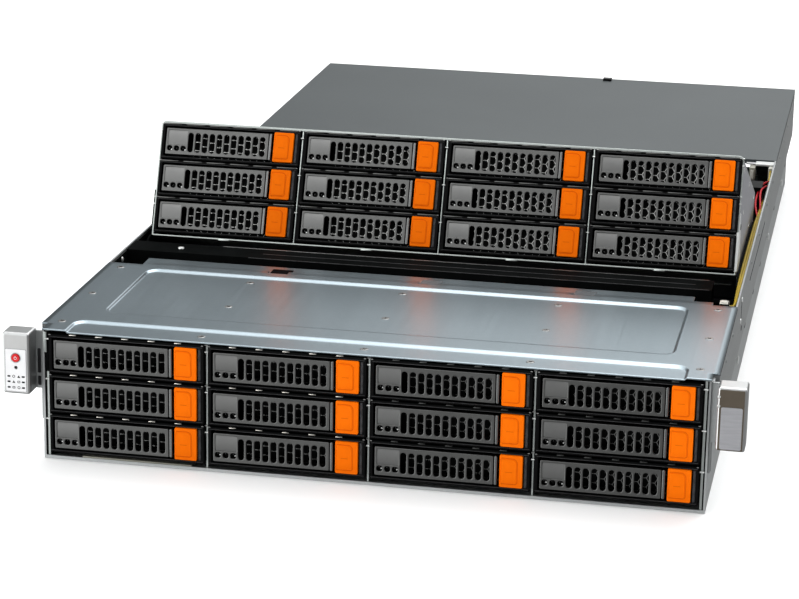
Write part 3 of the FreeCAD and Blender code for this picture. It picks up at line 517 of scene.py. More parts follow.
def frame_parts(raised, far=False):
    ring = front_plate([rrect(-51.4, 51.4, -12.8, 12.4, 0.6, 3), rrect(-49.2, 47.3, -11.0, 11.0, 0.8, 3)], -2.0, 6.2, 0.3, 2)
    back = front_plate([rrect(-51.2, 51.2, -12.6, 12.4, 0.6, 3), rrect(-33.4, 29.2, -8.4, 8.4, 1.0, 3)], 6.0, 12.0, 0.2, 1)
    # grey lines along the top and bottom lips of the frame: painted highlight on their edges
    ridge_t = rbox(-50.6, 50.6, -2.25, -1.8, 11.25, 11.6, 0.12, 1)
    ridge_b = rbox(-50.6, 50.6, -2.25, -1.8, -11.75, -11.4, 0.12, 1)
    plug = rbox(-33.6, 29.4, 9.0, 11.0, -8.4, 8.4, 0.2, 1)
    parts = [(ring, "black"), (back, "black"), (ridge_t, "line"), (ridge_b, "line"), (plug, "black")]
    # spring clip beside the release button, with its row of fingers
    parts.append((rbox(47.9, 49.5, -2.3, -1.8, -10.4, 10.4, 0.15, 1), "clip"))
    for k in range(7):
        z = -9.0 + 3.0 * k
        parts.append((rbox(48.3, 49.2, -2.55, -2.1, z - 0.9, z + 0.9, 0.18, 1), "clip"))
    # contact strip along the top edge; on the raised bank its segments take a darker copy of the strip metal: painted
    # shade
    if raised:
        edges = [-49.6] + [v for t in TABS for v in (t - 1.9, t + 1.9)] + [49.6]
        for x0, x1 in zip(edges[0::2], edges[1::2]):
            parts.append((rbox(x0, x1, -2.35, -1.7, 12.25, 12.95, 0.16, 2), "dim"))
        parts.append((rbox(-49.8, 49.8, -2.0, 3.0, 12.3, 12.8, 0.15, 1), "blacksteel"))
        # black tabs in place of the spring metal on the raised bank: painted shadow
        for x in TABS:
            parts.append((rbox(x - 1.6, x + 1.6, -2.15, -1.6, 12.3, 12.9, 0.16, 2), "black"))
    else:
        parts.append((rbox(-49.8, 49.8, -1.9, 3.0, 12.3, 12.75, 0.15, 1), "blacksteel"))
        for x in TABS:
            t = rbox(x - 2.2, x + 2.2, -1.7, 1.7, -0.14, 0.14, 0.12, 2)
            t.transform(Matrix.Rotation(math.radians(9.0), 4, "X"))
            parts.append((shifted(t, 0, 0.75, 13.05), "strip"))
            # bright cream lip on each front tab: painted highlight; the two right-hand columns take a darker copy:
            # painted shade
            parts.append((rbox(x - 2.25, x + 2.25, -1.25, -0.85, 12.3, 13.2, 0.16, 2), "dim" if far else "tab"))
    for sx in (-1, 1):
        x0, x1 = sorted((sx * 49.8, sx * 51.2))
        parts.append((rbox(x0, x1, -2.35, -1.8, 12.45, 13.05, 0.15, 1), "strip"))
    return parts


def tray_parts():
    parts = []
    for s in (-1, 1):
        x0, x1 = (50.75, 51.4) if s > 0 else (-51.4, -50.75)
        side = wall_plate([rrect(12.0, 160.0, -12.7, 12.4, 1.0, 3), rrect(22.0, 60.0, 2.0, 9.0, 2.0, 4), rrect(84.0, 122.0, 2.0, 9.0, 2.0, 4)],
                          x0, x1, 0.12, 1)
        parts.append((side, "black"))
        for y in (30.0, 72.0, 132.0):
            parts.append((lathe([(0.4, 0.0), (2.2, 0.0), (2.5, 0.25), (2.5, 0.5)], (s * 51.2, y, -6.0), "X", 14, -s), "nickel"))
    body = rbox(-50.7, 50.7, 12.6, 159.4, -12.6, 9.6, 0.8, 2)
    lid = flat_plate([rrect(-48.5, 48.5, 16.0, 156.0, 5.0, 5)], 9.4, 12.1, 0.5, 2)
    parts += [(body, "drive"), (lid, "drivelid")]
    hub = lathe([(0.5, 0.0), (17.0, 0.0), (18.0, 0.3), (18.5, 0.3)], (6.0, 62.0, 12.4), "Z", 32, -1)
    parts.append((hub, "drivelid"))
    for x, y in ((-45, 20), (45, 20), (-45, 86), (45, 86), (-45, 152), (45, 152), (-4, 121)):
        parts.append((lathe([(0.5, 0.0), (2.4, 0.0), (2.7, 0.3), (2.7, 0.7)], (x, y, 12.45), "Z", 14, -1), "nickel"))
    parts.append((rbox(-44.0, -2.0, 156.0, 160.2, -8.6, -3.4, 0.3, 1), "black"))
    for k in range(14):
        parts.append((rbox(-42.4 + 2.9 * k, -41.2 + 2.9 * k, 158.0, 160.3, -6.3, -5.7, 0.08, 1), "gold"))
    return parts


meshes = {}
for bank in ("front", "lift"):
    up = bank == "lift"
    meshes[bank, True, False] = assemble(bank + "_carrier_open", frame_parts(up) + tray_parts())
    meshes[bank, False, False] = assemble(bank + "_carrier_full", frame_parts(up) + tray_parts() + lever_parts(up) + button_parts())
    meshes[bank, False, True] = assemble(bank + "_carrier_far", frame_parts(up, True) + tray_parts() + lever_parts(up) + button_parts())
lever_mesh = {b: assemble(b + "_lever_mesh", lever_parts(b == "lift")) for b in ("front", "lift")}
button_mesh = assemble("button_mesh", button_parts())

for bank in ("front", "lift"):
    for r in range(3):
        for c in range(4):
            node = "%s_carrier_r%dc%d" % (bank, r + 1, c + 1)
            place = Matrix.Translation(P(COLS_X[c], LIFT_FACE if bank == "lift" else 0.0, ROWS_Z[r]))
            if bank == "lift":
                place = LIFT @ place
            show = r == 0 and c == 0
            put(node + "_look", meshes[bank, show, c > 1], node, place, (node,))
            if show:
                put(bank + "_lever_look", lever_mesh[bank], bank + "_lever_r1c1", place, (bank + "_lever_r1c1",))
                put(bank + "_button_look", button_mesh, bank + "_button_r1c1", place, (bank + "_button_r1c1",))


# ------------------------------------------------------------------ raised cage: folded shell, dividers, rails, latch
def arc(cx, cz, r, a0, a1, n=6):
    return [(cx + r * math.cos(math.radians(a0 + (a1 - a0) * k / n)), cz + r * math.sin(math.radians(a0 + (a1 - a0) * k / n)))
            for k in range(n + 1)]


LF, LE = LIFT_FACE, LIFT_FACE + 173.0
cage = []
fold = (arc(207.5, 83.3, 3.5, 0.0, 90.0) + arc(-207.5, 83.3, 3.5, 90.0, 180.0)
        + list(reversed(arc(-207.5, 83.3, 2.5, 90.0, 180.0))) + list(reversed(arc(207.5, 83.3, 2.5, 0.0, 90.0))))
cage.append((front_plate([fold], LF, LE, 0.15, 2), "cage"))
# lip round the front edge
lip = (arc(207.7, 83.5, 3.3, 0.0, 90.0) + arc(-207.7, 83.5, 3.3, 90.0, 180.0) + [(-211.0, 3.1), (-210.5, 2.6), (210.5, 2.6), (211.0, 3.1)])
lip_in = arc(207.35, 82.6, 2.6, 0.0, 90.0) + arc(-207.35, 82.6, 2.6, 90.0, 180.0) + [(-209.95, 3.7), (209.95, 3.7)]
cage.append((front_plate([lip, lip_in], LF - 0.5, LF + 0.8, 0.25, 2), "lip"))
cage.append((rbox(-210.0, 210.0, LF + 0.2, LE, 2.6, 3.6, 0.2, 1), "cage"))
cage.append((rbox(-205.0, 205.0, LF + 66.0, LF + 68.0, 1.75, 2.7, 0.3, 2), "cage"))
for x in (-157.0, -52.0, 53.0, 158.0):
    cage.append((rbox(x - 4.0, x + 4.0, LF - 0.75, LF + 0.3, 2.0, 3.3, 0.3, 2), "cage"))
a7 = arc(455.0, 10.0, 7.0, -90.0, 90.0, 10)
side_loop = [(LF, 3.0), (425.0, 3.0)] + [(y, z) for y, z in a7] + [(441.0, 26.0), (LE, 66.0), (LE, 83.4), (LF, 83.4)]
eye = [(455.0 + 4.0 * math.cos(2 * math.pi * k / 20), 10.0 + 4.0 * math.sin(2 * math.pi * k / 20)) for k in range(20)]
for sx in (-1, 1):
    x0, x1 = sorted((sx * 210.0, sx * 211.0))
    cage.append((wall_plate([side_loop, eye], x0, x1, 0.15, 2), "side"))
    for y, z in ((LF + 12, 78), (LF + 86, 78), (LF + 160, 78), (LF + 86, 12), (LF + 160, 14), (LF + 40, 52), (LF + 120, 52)):
        cage.append((lathe([(0.4, 0.45), (1.3, 0.4), (1.9, 0.2), (2.1, -0.1)], (sx * 211.0, y, z), "X", 16, sx), "nickel"))
for i in range(5):
    xd = (i - 2) * COL_PITCH
    if 0 < i < 4:
        cage.append((wall_plate([rrect(LF, LF + 160.4, 3.6, 85.8, 0.5, 2)], xd - 0.5, xd + 0.5, 0.15, 1), "lip"))
    for sx in (-1, 1):
        if (i == 0 and sx < 0) or (i == 4 and sx > 0):
            continue
        xf = sx * 0.5 + xd if 0 < i < 4 else (-210.0 if i == 0 else 210.0)
        for z in ROWS_Z:
            x0, x1 = sorted((xf, xf + sx * 2.5))
            cage.append((rbox(x0, x1, LF + 14.0, LF + 160.4, z - 13.9, z - 13.1, 0.15, 1), "cage"))
    for z in ROWS_Z:
        if 0 < i < 4:
            cage.append((rbox(xd - 1.2, xd + 1.2, LF - 1.6, LF + 0.5, z + 7.4, z + 8.2, 0.2, 1), "bright"))
        else:
            x0, x1 = sorted((math.copysign(211.5, xd), math.copysign(209.9, xd)))
            cage.append((rbox(x0, x1, LF - 1.0, LF + 0.5, z + 7.4, z + 8.3, 0.2, 1), "bright"))
            cage.append((rbox(x0, x1, LF - 1.0, LF + 0.5, z + 12.6, z + 13.3, 0.2, 1), "bright"))
cage.append((rbox(-210.0, 210.0, LF + 170.4, LE, 75.8, 85.8, 0.2, 1), "cage"))
cage.append((wall_plate([[(LF, 6.6), (LF + 26, 6.6), (LF + 30, 14.6), (LF + 6, 46.6), (LF, 46.6)]], 211.0, 211.5, 0.12, 1), "bright"))
cage.append((front_plate([rrect(209.7, 211.7, 5.0, 33.0, 0.5, 3)], LF - 1.3, LF - 0.2, 0.3, 3), "bright"))
cage.append((wall_plate([[(LF - 0.4, 4.0), (LF + 22, 4.0), (LF + 26, 12.0), (LF + 6, 36.0), (LF - 0.4, 36.0)]], -211.9, -211.0, 0.12, 1), "blacksteel"))
cage.append((lathe([(0.4, 0.08), (1.0, 0.08), (1.1, 0.36), (2.0, 0.32), (2.2, 0.2), (2.2, -0.1)], (211.5, LF + 10.0, 38.0), "X", 18, 1), "mark"))
put("lift_cage_look", assemble("lift_cage_look", cage), "lift", LIFT @ ROW, ("lift_cage",))

# small silver steps on the fixed dividers
step = []
for i in range(5):
    xd = (i - 2) * COL_PITCH
    for z in ROWS_Z:
        if 0 < i < 4:
            step.append((rbox(xd - 1.2, xd + 1.2, -0.6, 1.5, z + 8.0, z + 8.8, 0.2, 1), "bright"))
            step.append((rbox(xd - 1.2, xd + 1.2, -0.4, 1.5, z + 12.5, z + 13.1, 0.2, 1), "strip"))
        else:
            x0, x1 = sorted((math.copysign(212.9, xd), math.copysign(209.95, xd)))
            step.append((rbox(x0, x1, -0.4, 1.5, z + 8.6, z + 9.5, 0.2, 1), "bright"))
for sx in (-1, 1):
    x0, x1 = sorted((sx * 213.25, sx * 212.3))
    step.append((rbox(x0, x1, 0.6, 1.4, 1.9, 86.0, 0.1, 1), "black"))
    x0, x1 = sorted((sx * 210.75, sx * 209.95))
    step.append((rbox(x0, x1, 0.9, 12.0, 2.0, 86.0, 0.1, 1), "black"))
step.append((rbox(-212.4, -210.7, 0.6, 1.4, 59.0, 86.0, 0.1, 1), "blacksteel"))
step.append((rbox(-214.3, -211.7, -0.25, 0.75, 72.0, 85.8, 0.2, 2), "lip"))
# pull-out card under the lowest carrier
step.append((rbox(-189.0, -116.0, 0.5, 42.0, 1.25, 2.9, 0.2, 2), "card"))
put("divider_steps_look", assemble("divider_steps_look", step), "chassis", ROW, ())


# ------------------------------------------------------------------ front top plate with pressed beads
def smooth(a, b, x):
    t = min(max((x - a) / (b - a), 0.0), 1.0)
    return t * t * (3 - 2 * t)


def sd_round(x, y, hx, y0, y1, r):
    cx, cy = abs(x) - (hx - r), abs(y - (y0 + y1) / 2) - ((y1 - y0) / 2 - r)
    ox, oy = max(cx, 0.0), max(cy, 0.0)
    return math.hypot(ox, oy) + min(max(cx, cy), 0.0) - r


PRESS, SLOPE = 1.25, 2.7                # depth of the pressed areas, half width of their sloping sides


def plate_height(x, y):
    """The band along the front edge and the panel in the middle are pressed down into the sheet."""
    out = []
    for hx, y0, y1 in ((198.3, -60.0, 22.0), (186.5, 45.5, 149.4)):
        ox, oy = abs(x) - (hx - 8.0), abs(y - (y0 + y1) / 2) - ((y1 - y0) / 2 - 8.0)
        if ox > 0.0 and oy > 0.0:
            side = ox * ox / (ox * ox + oy * oy)
        else:
            side = 1.0 if ox > oy else 0.0
        w = SLOPE * (1.0 - 0.66 * side)
        out.append(1.0 - smooth(-w, w, sd_round(x, y, hx, y0, y1, 8.0)))
    return -PRESS * max(out)


def steps(bands, lo, hi, coarse):
    xs = set([lo, hi])
    for a, b, s in bands:
        n = max(1, int(round((b - a) / s)))
        for k in range(n + 1):
            xs.add(round(a + (b - a) * k / n, 4))
    xs = sorted(v for v in xs if lo - 1e-6 <= v <= hi + 1e-6)
    out = [xs[0]]
    for v in xs[1:]:
        gap = v - out[-1]
        if gap > coarse * 1.5:
            n = int(math.ceil(gap / coarse))
            base = out[-1]
            for k in range(1, n):
                out.append(base + gap * k / n)
        if v - out[-1] > 1e-4:
            out.append(v)
    return out


NOTCH_X = (-98.0, 8.0, 114.5)
TAB_X0, TAB_X1, CORNER_END = -192.0, 201.8, 159.4


def top_plate():
    edges = [(184.2, 188.8, 0.33), (196.0, 200.6, 0.33), (176.0, 184.2, 0.6), (188.8, 196.0, 0.6)]
    xs = steps(edges + [(-b, -a, c) for a, b, c in edges] + [(-214.5, -214.5, 1), (214.5, 214.5, 1), (-192, -192, 1), (201.8, 201.8, 1)]
               + [(n - 7, n - 7, 1) for n in NOTCH_X] + [(n + 7, n + 7, 1) for n in NOTCH_X], -218.5, 218.5, 6.0)
    ys = steps([(0, 12, 1.2), (12, 19.1, 0.6), (19.1, 24.9, 0.33), (42.6, 48.4, 0.33), (48.4, 56.0, 0.6), (139.0, 146.5, 0.6), (146.5, 152.3, 0.33), (12.3, 12.3, 1), (160.0, 160.0, 1), (159.4, 159.4, 1)], 0.0, 165.5, 4.0)
    bm = bmesh.new()
    grid = {}

    def vert(i, j):
        if (i, j) not in grid:
            x, y = xs[i], ys[j]
            grid[(i, j)] = bm.verts.new(Vector((x, y, 88.0 + plate_height(x, y))) * 0.001)
        return grid[(i, j)]

    for i in range(len(xs) - 1):
        for j in range(len(ys) - 1):
            cx, cy = (xs[i] + xs[i + 1]) / 2, (ys[j] + ys[j + 1]) / 2
            if abs(cx) > 214.5 and cy < 12.3:
                continue
            if not TAB_X0 < cx < TAB_X1 and cy > CORNER_END:
                continue
            if cy > 160.0 and any(abs(cx - n) < 7.0 for n in NOTCH_X):
                continue
            bm.faces.new((vert(i, j), vert(i + 1, j), vert(i + 1, j + 1), vert(i, j + 1)))
    # rolled front edge
    roll = [(-0.24, -0.05), (-0.44, -0.22), (-0.52, -0.50), (-0.52, -1.10)]
    prev = {i: vert(i, 0) for i in range(len(xs)) if abs(xs[i]) <= 214.5 + 1e-6}
    prof = {}
    for i in prev:
        h = plate_height(xs[i], 0.0)
        prof[i] = [bm.verts.new(Vector((xs[i], p[0], 88.0 + h + p[1])) * 0.001) for p in roll]
    idx = sorted(prev)
    for a, b in zip(idx, idx[1:]):
        chain_a = [prev[a]] + prof[a]
        chain_b = [prev[b]] + prof[b]
        for k in range(4):
            bm.faces.new((chain_a[k + 1], chain_b[k + 1], chain_b[k], chain_a[k]))
    bmesh.ops.recalc_face_normals(bm, faces=list(bm.faces))
    up = sum(f.normal.z for f in bm.faces)
    if up < 0:
        bmesh.ops.reverse_faces(bm, faces=list(bm.faces))
    for f in bm.faces:
        f.smooth = True
    me = bpy.data.meshes.new("top_plate")
    bm.to_mesh(me)
    bm.free()
    me.materials.append(M["plate"])
    me.set_sharp_from_angle(angle=math.radians(50))
    return me


shelf = [(flat_plate([rrect(-197.0, 188.0, 164.6, 185.0, 0.8, 3)], 84.4, 85.4, 0.25, 2), "plate")]
# dark pads under each notch in the plate's tab, where the shelf lies in shadow: painted shade, black under the left
# notch and dark zinc under the others
for x in NOTCH_X:
    shelf.append((rbox(x - 6.9, x + 6.9, 160.1, 164.4, 84.3, 85.0, 0.15, 1), "shade"))
    shelf.append((flat_plate([rrect(x - 7.4, x + 7.4, 165.8, 179.0, 0.6, 2)], 85.3, 85.5, 0.06, 1), "painted_shade_black" if x < 0 else "shade"))
for x0, x1 in ((-192.0, -105.0), (-91.0, 1.0), (15.0, 107.5), (121.5, 201.8)):
    shelf.append((rbox(x0 + 0.3, x1 - 0.3, 164.4, 165.4, 82.5, 87.2, 0.2, 1), "plate"))
put("plate_shelf_look", assemble("plate_shelf_look", shelf), "chassis", ROW, ())
plate_ob = put("front_top_plate_look", top_plate(), "chassis", ROW, ("front_top_cover",))
sol = plate_ob.modifiers.new("sheet", "SOLIDIFY")
sol.thickness = 0.0010
sol.offset = -1.0


# ------------------------------------------------------------------ screws on the plate and the ears
def screw(x, y, z, r=2.7):
    head = lathe([(0.3, 0.22), (1.2, 0.24), (1.9, 0.36), (r - 0.3, 0.34), (r, 0.12), (r, -0.2)], (x, y, z), "Z", 22)
    return head


def screw_cross(x, y, z, turn):
    out = []
    for a in (0.0, 90.0):
        b = rbox(-1.45, 1.45, -0.28, 0.28, -0.12, 0.12, 0.05, 1)
        b.transform(Matrix.Rotation(math.radians(turn + a), 4, "Z"))
        out.append(shifted(b, x, y, z + 0.26))
    return out


screw_parts = []
spots = [(x, y) for x in (-207.0, 206.0) for y in (18.0, 83.7, 149.0)] + [(x, y) for x in (-111.8, -5.6, 100.5) for y in (11.0, 79.5, 137.5)]
for (x, y) in spots:
    z = 88.0 + plate_height(x, y)
    # a flush screw head with its cross
    screw_parts.append((screw(x, y, z), "strip"))
    # dark cross standing for the shade in the screw's recess: painted shade
    for q in screw_cross(x, y, z, random.uniform(0, 90)):
        screw_parts.append((q, "mark"))
for s in (-1, 1):
    for z in (50.0, 78.0):
        screw_parts.append((lathe([(0.6, 0.7), (1.6, 0.9), (2.2, 0.8), (2.5, 0.3), (2.5, -0.1)], (s * 216.1, 8.2, z), "X", 20, s), "nickel"))
put("cover_screws_look", assemble("cover_screws_look", screw_parts), "chassis", ROW, ("cover_screws",))


# ------------------------------------------------------------------ ears
def carve(me, cutters):
    """Cuts pockets and bores out of a piece."""
    ob = bpy.data.objects.new("carved", me)
    scene.collection.objects.link(ob)
    tools = []
    for c in cutters:
        tool = bpy.data.objects.new("cutter", c)
        scene.collection.objects.link(tool)
        md = ob.modifiers.new("cut", "BOOLEAN")
        md.operation = "DIFFERENCE"
        md.solver = "EXACT"
        md.object = tool
        tools.append(tool)
    out = bpy.data.meshes.new_from_object(ob.evaluated_get(bpy.context.evaluated_depsgraph_get()))
    for o in [ob] + tools:
        bpy.data.objects.remove(o)
    return out


def bore(x, z, r, y0, y1):
    bm = bmesh.new()
    bmesh.ops.create_cone(bm, cap_ends=True, segments=36, radius1=r * 0.001, radius2=r * 0.001, depth=(y1 - y0) * 0.001,
                          matrix=Matrix.Translation(Vector((x, (y0 + y1) / 2, z)) * 0.001) @ Matrix.Rotation(math.pi / 2, 4, "X"))
    me = bpy.data.meshes.new("bore")
    bm.to_mesh(me)
    bm.free()
    return me


def ear_shell(s, holes=()):
    """Rounded housing, its web and the flange that sits in the front recess."""
    x0, x1 = (219.5, 237.5) if s > 0 else (-237.5, -219.5)
    bm = bmesh.new()
    bmesh.ops.create_cube(bm, size=1.0)
    for v in bm.verts:
        v.co = Vector(((x0 + x1) / 2 + v.co.x * 18.0, -4.0 + v.co.y * 16.0, 66.8 + v.co.z * 41.0)) * 0.001
    front = [e for e in bm.edges if all(v.co.y < -0.0119 for v in e.verts)]
    upright = [e for e in bm.edges if abs(e.verts[0].co.z - e.verts[1].co.z) > 0.01]
    top = [e for e in front if all(v.co.z > 0.087 for v in e.verts)]
    bmesh.ops.bevel(bm, geom=top, offset=0.0018, segments=5, profile=0.5, affect="EDGES")
    rest = [e for e in bm.edges if e.calc_face_angle(0) > math.radians(60)]
    bmesh.ops.bevel(bm, geom=rest, offset=0.0015, segments=5, profile=0.5, affect="EDGES")
    me = bpy.data.meshes.new("ear")
    bm.to_mesh(me)
    bm.free()
    # hollow from behind, with bores for the buttons
    c0, c1 = sorted((s * 221.0, s * 236.0))
    me = carve(me, [rbox(c0, c1, -9.0, 5.0, 47.8, 83.3, 0.3, 2)] + [bore(x, z, r, -14.0, -6.0) for x, z, r in holes])
    w0, w1 = (214.6, 219.8) if s > 0 else (-219.8, -214.6)
    f0, f1 = (214.5, 216.1) if s > 0 else (-216.1, -214.5)
    web = rbox(w0, w1, 2.2, 4.0, 46.6, 85.6, 0.4, 2)
    flange = rbox(f0, f1, 2.4, 12.1, 26.0, 85.6, 0.3, 2)
    return [(me, "ear"), (web, "wall"), (flange, "wall")]


left = ear_shell(-1, ((-228.4, 70.8, 3.1), (-228.4, 64.2, 1.1)))
left.append((front_plate([rrect(-236.2, -220.8, 47.5, 85.7, 0.9, 4), circle(-228.4, 70.8, 3.12, 28), circle(-228.4, 64.2, 1.15, 18)],
                         -12.07, -11.6, 0.03, 1), "earface"))
right = ear_shell(1)
right += [(front_plate([rrect(220.6, 236.0, 46.9, 85.9, 0.7, 4)], -12.25, -11.6, 0.2, 2), "inset"),
          (front_plate([rrect(221.9, 235.1, 47.6, 74.8, 1.1, 5)], -12.65, -12.1, 0.18, 2), "badge")]
for z in (81.2, 75.2):
    right.append((lathe([(0.3, 0.55), (0.8, 0.5), (1.05, 0.2), (1.1, -0.3)], (220.4, -11.9, z), "Y", 16, -1), "bright"))
for sx, kit in ((-1, left), (1, right)):
    # slot, screw and fold line on the flange behind each ear; the slots are flat dark patches standing for the shade
    # inside them: painted shade
    x0, x1 = sorted((sx * 216.05, sx * 216.2))
    kit.append((wall_plate([rrect(6.6, 9.0, 36.5, 44.0, 1.1, 4)], x0, x1, 0.04, 1), "mark"))
    x0, x1 = sorted((sx * 216.0, sx * 216.6))
    kit.append((wall_plate([rrect(3.2, 4.4, 27.0, 85.0, 0.4, 2)], x0, x1, 0.2, 1), "wall"))
    y0, y1 = 2.0, 2.35
    xa, xb = sorted((sx * 216.4, sx * 218.6))
    if sx < 0:
        kit.append((front_plate([rrect(xa, xb, 48.6, 55.0, 0.7, 3)], 2.05, 2.3, 0.05, 1), "mark"))
        kit.append((front_plate([rrect(xa, xb, 57.0, 73.6, 0.7, 3)], 2.05, 2.3, 0.05, 1), "mark"))
put("left_ear_look", assemble("left_ear_look", left, 6.0), "chassis", ROW, ("left_ear",))
put("right_ear_look", assemble("right_ear_look", right, 6.0), "chassis", ROW, ("right_ear",))

# thin grey border round the white overlay: painted shadow at its edge
panel = [(front_plate([rrect(-235.6, -221.4, 47.9, 76.7, 0.8, 4), rrect(-235.3, -221.7, 48.2, 76.4, 0.7, 4)], -12.12, -11.9, 0.03, 1), "badge"),
         (front_plate([rrect(-235.3, -221.7, 48.2, 76.4, 0.7, 4), circle(-228.4, 70.8, 3.05, 28), circle(-228.4, 64.2, 1.15, 18)],
                      -12.5, -11.9, 0.12, 2), "overlay"),
         (front_plate([circle(-228.4, 70.8, 3.5, 28), circle(-228.4, 70.8, 3.0, 28)], -12.65, -12.3, 0.08, 1), "ear")]
for k, z in enumerate((58.2, 54.6, 50.8)):
    for x in (-233.2, -223.6):
        panel.append((front_plate([rrect(x - 1.0, x + 1.0, z - 0.55, z + 0.55, 0.3, 2)], -12.62, -12.4, 0.06, 1), "mark"))
    for x, t in ((-230.0, k), (-226.6, k + 1)):
        if t % 3 == 0:
            lp = [circle(x, z, 0.95, 16), circle(x, z, 0.6, 16)]
        elif t % 3 == 1:
            lp = [[(x - 1.0, z - 0.8), (x + 1.0, z - 0.8), (x, z + 0.9)]]
        else:
            lp = [rrect(x - 0.9, x + 0.9, z - 0.75, z + 0.75, 0.25, 2), rrect(x - 0.55, x + 0.55, z - 0.4, z + 0.4, 0.1, 2)]
        panel.append((front_plate(lp, -12.6, -12.4, 0.04, 1), "mark"))
# switch board inside the left ear
ear_board = [(rbox(-236.0, -221.0, -1.6, -0.2, 49.0, 76.0, 0.15, 1), "pcb"),
             (rbox(-231.4, -225.4, -2.5, -1.5, 67.8, 73.8, 0.25, 2), "black"),
             (rbox(-230.0, -226.8, -2.5, -1.5, 62.6, 65.8, 0.2, 2), "black"),
             (rbox(-233.0, -224.0, -0.3, 2.4, 52.0, 55.4, 0.3, 2), "overlay")]
for k in range(6):
    ear_board.append((rbox(-232.2 + 1.4 * k, -231.6 + 1.4 * k, -0.3, 0.6, 56.4, 57.6, 0.1, 1), "steel"))
for x in (-233.2, -230.0, -226.6, -223.6):
    ear_board.append((rbox(x - 0.8, x + 0.8, -2.2, -1.5, 57.8, 58.8, 0.15, 1), "overlay"))
put("ear_board_look", assemble("ear_board_look", ear_board), "chassis", ROW, ())
put("control_panel_look", assemble("control_panel_look", panel), "chassis", ROW, ("control_overlay",))
power = [(lathe([(0.3, 0.25), (1.6, 0.12), (2.3, 0.05), (2.65, 0.35), (2.7, 0.9), (2.7, 8.6)], (-228.4, -13.4, 70.8), "Y", 30), "red")]
ringl = [circle(-228.4, 70.8, 1.0, 24), circle(-228.4, 70.8, 0.74, 24)]
power.append((front_plate(ringl, -13.42, -13.2, 0.04, 1), "overlay"))
power.append((front_plate([rrect(-228.52, -228.28, 70.9, 72.0, 0.1, 2)], -13.44, -13.2, 0.04, 1), "overlay"))
put("power_button_look", assemble("power_button_look", power), "power_button", ROW, ("power_button",))

# ------------------------------------------------------------------ wiring along the right-hand wall
def wire_mesh(points, radius):
    cu = bpy.data.curves.new("wire", "CURVE")
    cu.dimensions = "3D"
    sp = cu.splines.new("NURBS")
    sp.points.add(len(points) - 1)
    for k, q in enumerate(points):
        sp.points[k].co = (q[0] * 0.001, q[1] * 0.001, q[2] * 0.001, 1.0)
    sp.order_u = 3
    sp.use_endpoint_u = True
    sp.resolution_u = 8
    cu.bevel_depth = radius * 0.001
    cu.bevel_resolution = 3
    cu.use_fill_caps = True
    ob = bpy.data.objects.new("wire", cu)
    scene.collection.objects.link(ob)
    me = bpy.data.meshes.new_from_object(ob.evaluated_get(bpy.context.evaluated_depsgraph_get()))
    bpy.data.objects.remove(ob)
    bpy.data.curves.remove(cu)
    return me


# each wire: height in the socket, then the heights and sideways places it takes along the wall
RUN_Y = (200.0, 245.0, 300.0, 360.0, 405.0, 455.0, 492.0, 522.0, 548.0)
WIRES = (
    ("redwire", 74.8, (74.8, 74.6, 74.4, 74.6, 75.0, 79.4, 85.2, 81.5, 76.0), (215.4, 215.6, 215.5, 215.6, 215.4, 214.8, 211.4, 213.8, 215.3)),
    ("redwire", 76.9, (76.6, 76.2, 76.0, 75.6, 73.2, 71.0, 75.6, 82.6, 79.6), (215.2, 215.4, 215.3, 215.6, 215.4, 213.6, 207.6, 210.4, 215.3)),
    ("greywire", 79.0, (80.6, 83.6, 84.4, 84.2, 83.0, 78.4, 76.4, 78.0, 78.8), (215.5, 215.3, 215.2, 215.2, 215.3, 215.4, 215.2, 215.3, 215.3)),
    ("yellow", 81.1, (83.0, 85.4, 86.0, 85.8, 84.6, 79.4, 74.6, 72.4, 76.0), (214.6, 214.4, 214.4, 214.4, 214.5, 214.5, 213.8, 214.6, 215.3)),
    ("yellow", 83.2, (85.0, 86.6, 86.8, 86.4, 85.4, 80.6, 75.2, 73.4, 78.0), (216.0, 216.1, 216.2, 216.2, 216.1, 215.9, 215.6, 215.4, 215.3)),
)
harness = []
for key, z0, zs, xs_ in WIRES:
    pts = [(211.4, 175.0, z0), (213.6, 175.0, z0), (215.3, 176.2, z0 + 0.2)]
    pts += list(zip(xs_, RUN_Y, zs)) + [(215.3, 558.0, z0), (215.3, 567.0, z0)]
    harness.append((wire_mesh(pts, 0.75 if key == "redwire" else 0.88), key))
harness.append((front_plate([rrect(213.4, 217.2, 47.3, 86.0, 0.6, 3)] + [circle(215.3, 74.8 + 2.1 * k, 0.95, 14) for k in range(5)],
                            565.8, 571.0, 0.2, 2), "white"))
harness.append((rbox(213.5, 217.1, 570.6, 583.4, 47.4, 85.8, 0.5, 2), "white"))
harness.append((rbox(213.2, 217.25, 574.0, 577.0, 60.0, 80.0, 0.3, 2), "white"))
put("wire_harness_look", assemble("wire_harness_look", harness), "chassis", ROW, ("wire_harness",))
plug = [(rbox(205.4, 211.2, 170.5, 179.5, 73.5, 86.1, 0.5, 2), "white"), (rbox(206.4, 210.4, 172.0, 178.0, 85.6, 86.7, 0.4, 2), "white")]
for k in range(5):
    z = 74.8 + 2.1 * k
    plug.append((rbox(210.6, 212.3, 174.0, 176.0, z - 0.9, z + 0.9, 0.3, 2), "white"))
put("harness_plug_look", assemble("harness_plug_look", plug), "chassis", ROW, ())

# ------------------------------------------------------------------ well between the plate and the raised cage
# black sheets on the floor and the right-hand wall of the well, where it lies in shade: painted shade
well = [(flat_plate([rrect(-211.0, 211.0, 172.0, 498.0, 2.0, 3)], 1.22, 1.55, 0.1, 1), "painted_shade_black"),
        (wall_plate([rrect(190.0, 584.0, 47.6, 86.0, 1.0, 3)], 217.0, 217.28, 0.1, 1), "painted_shade_black")]
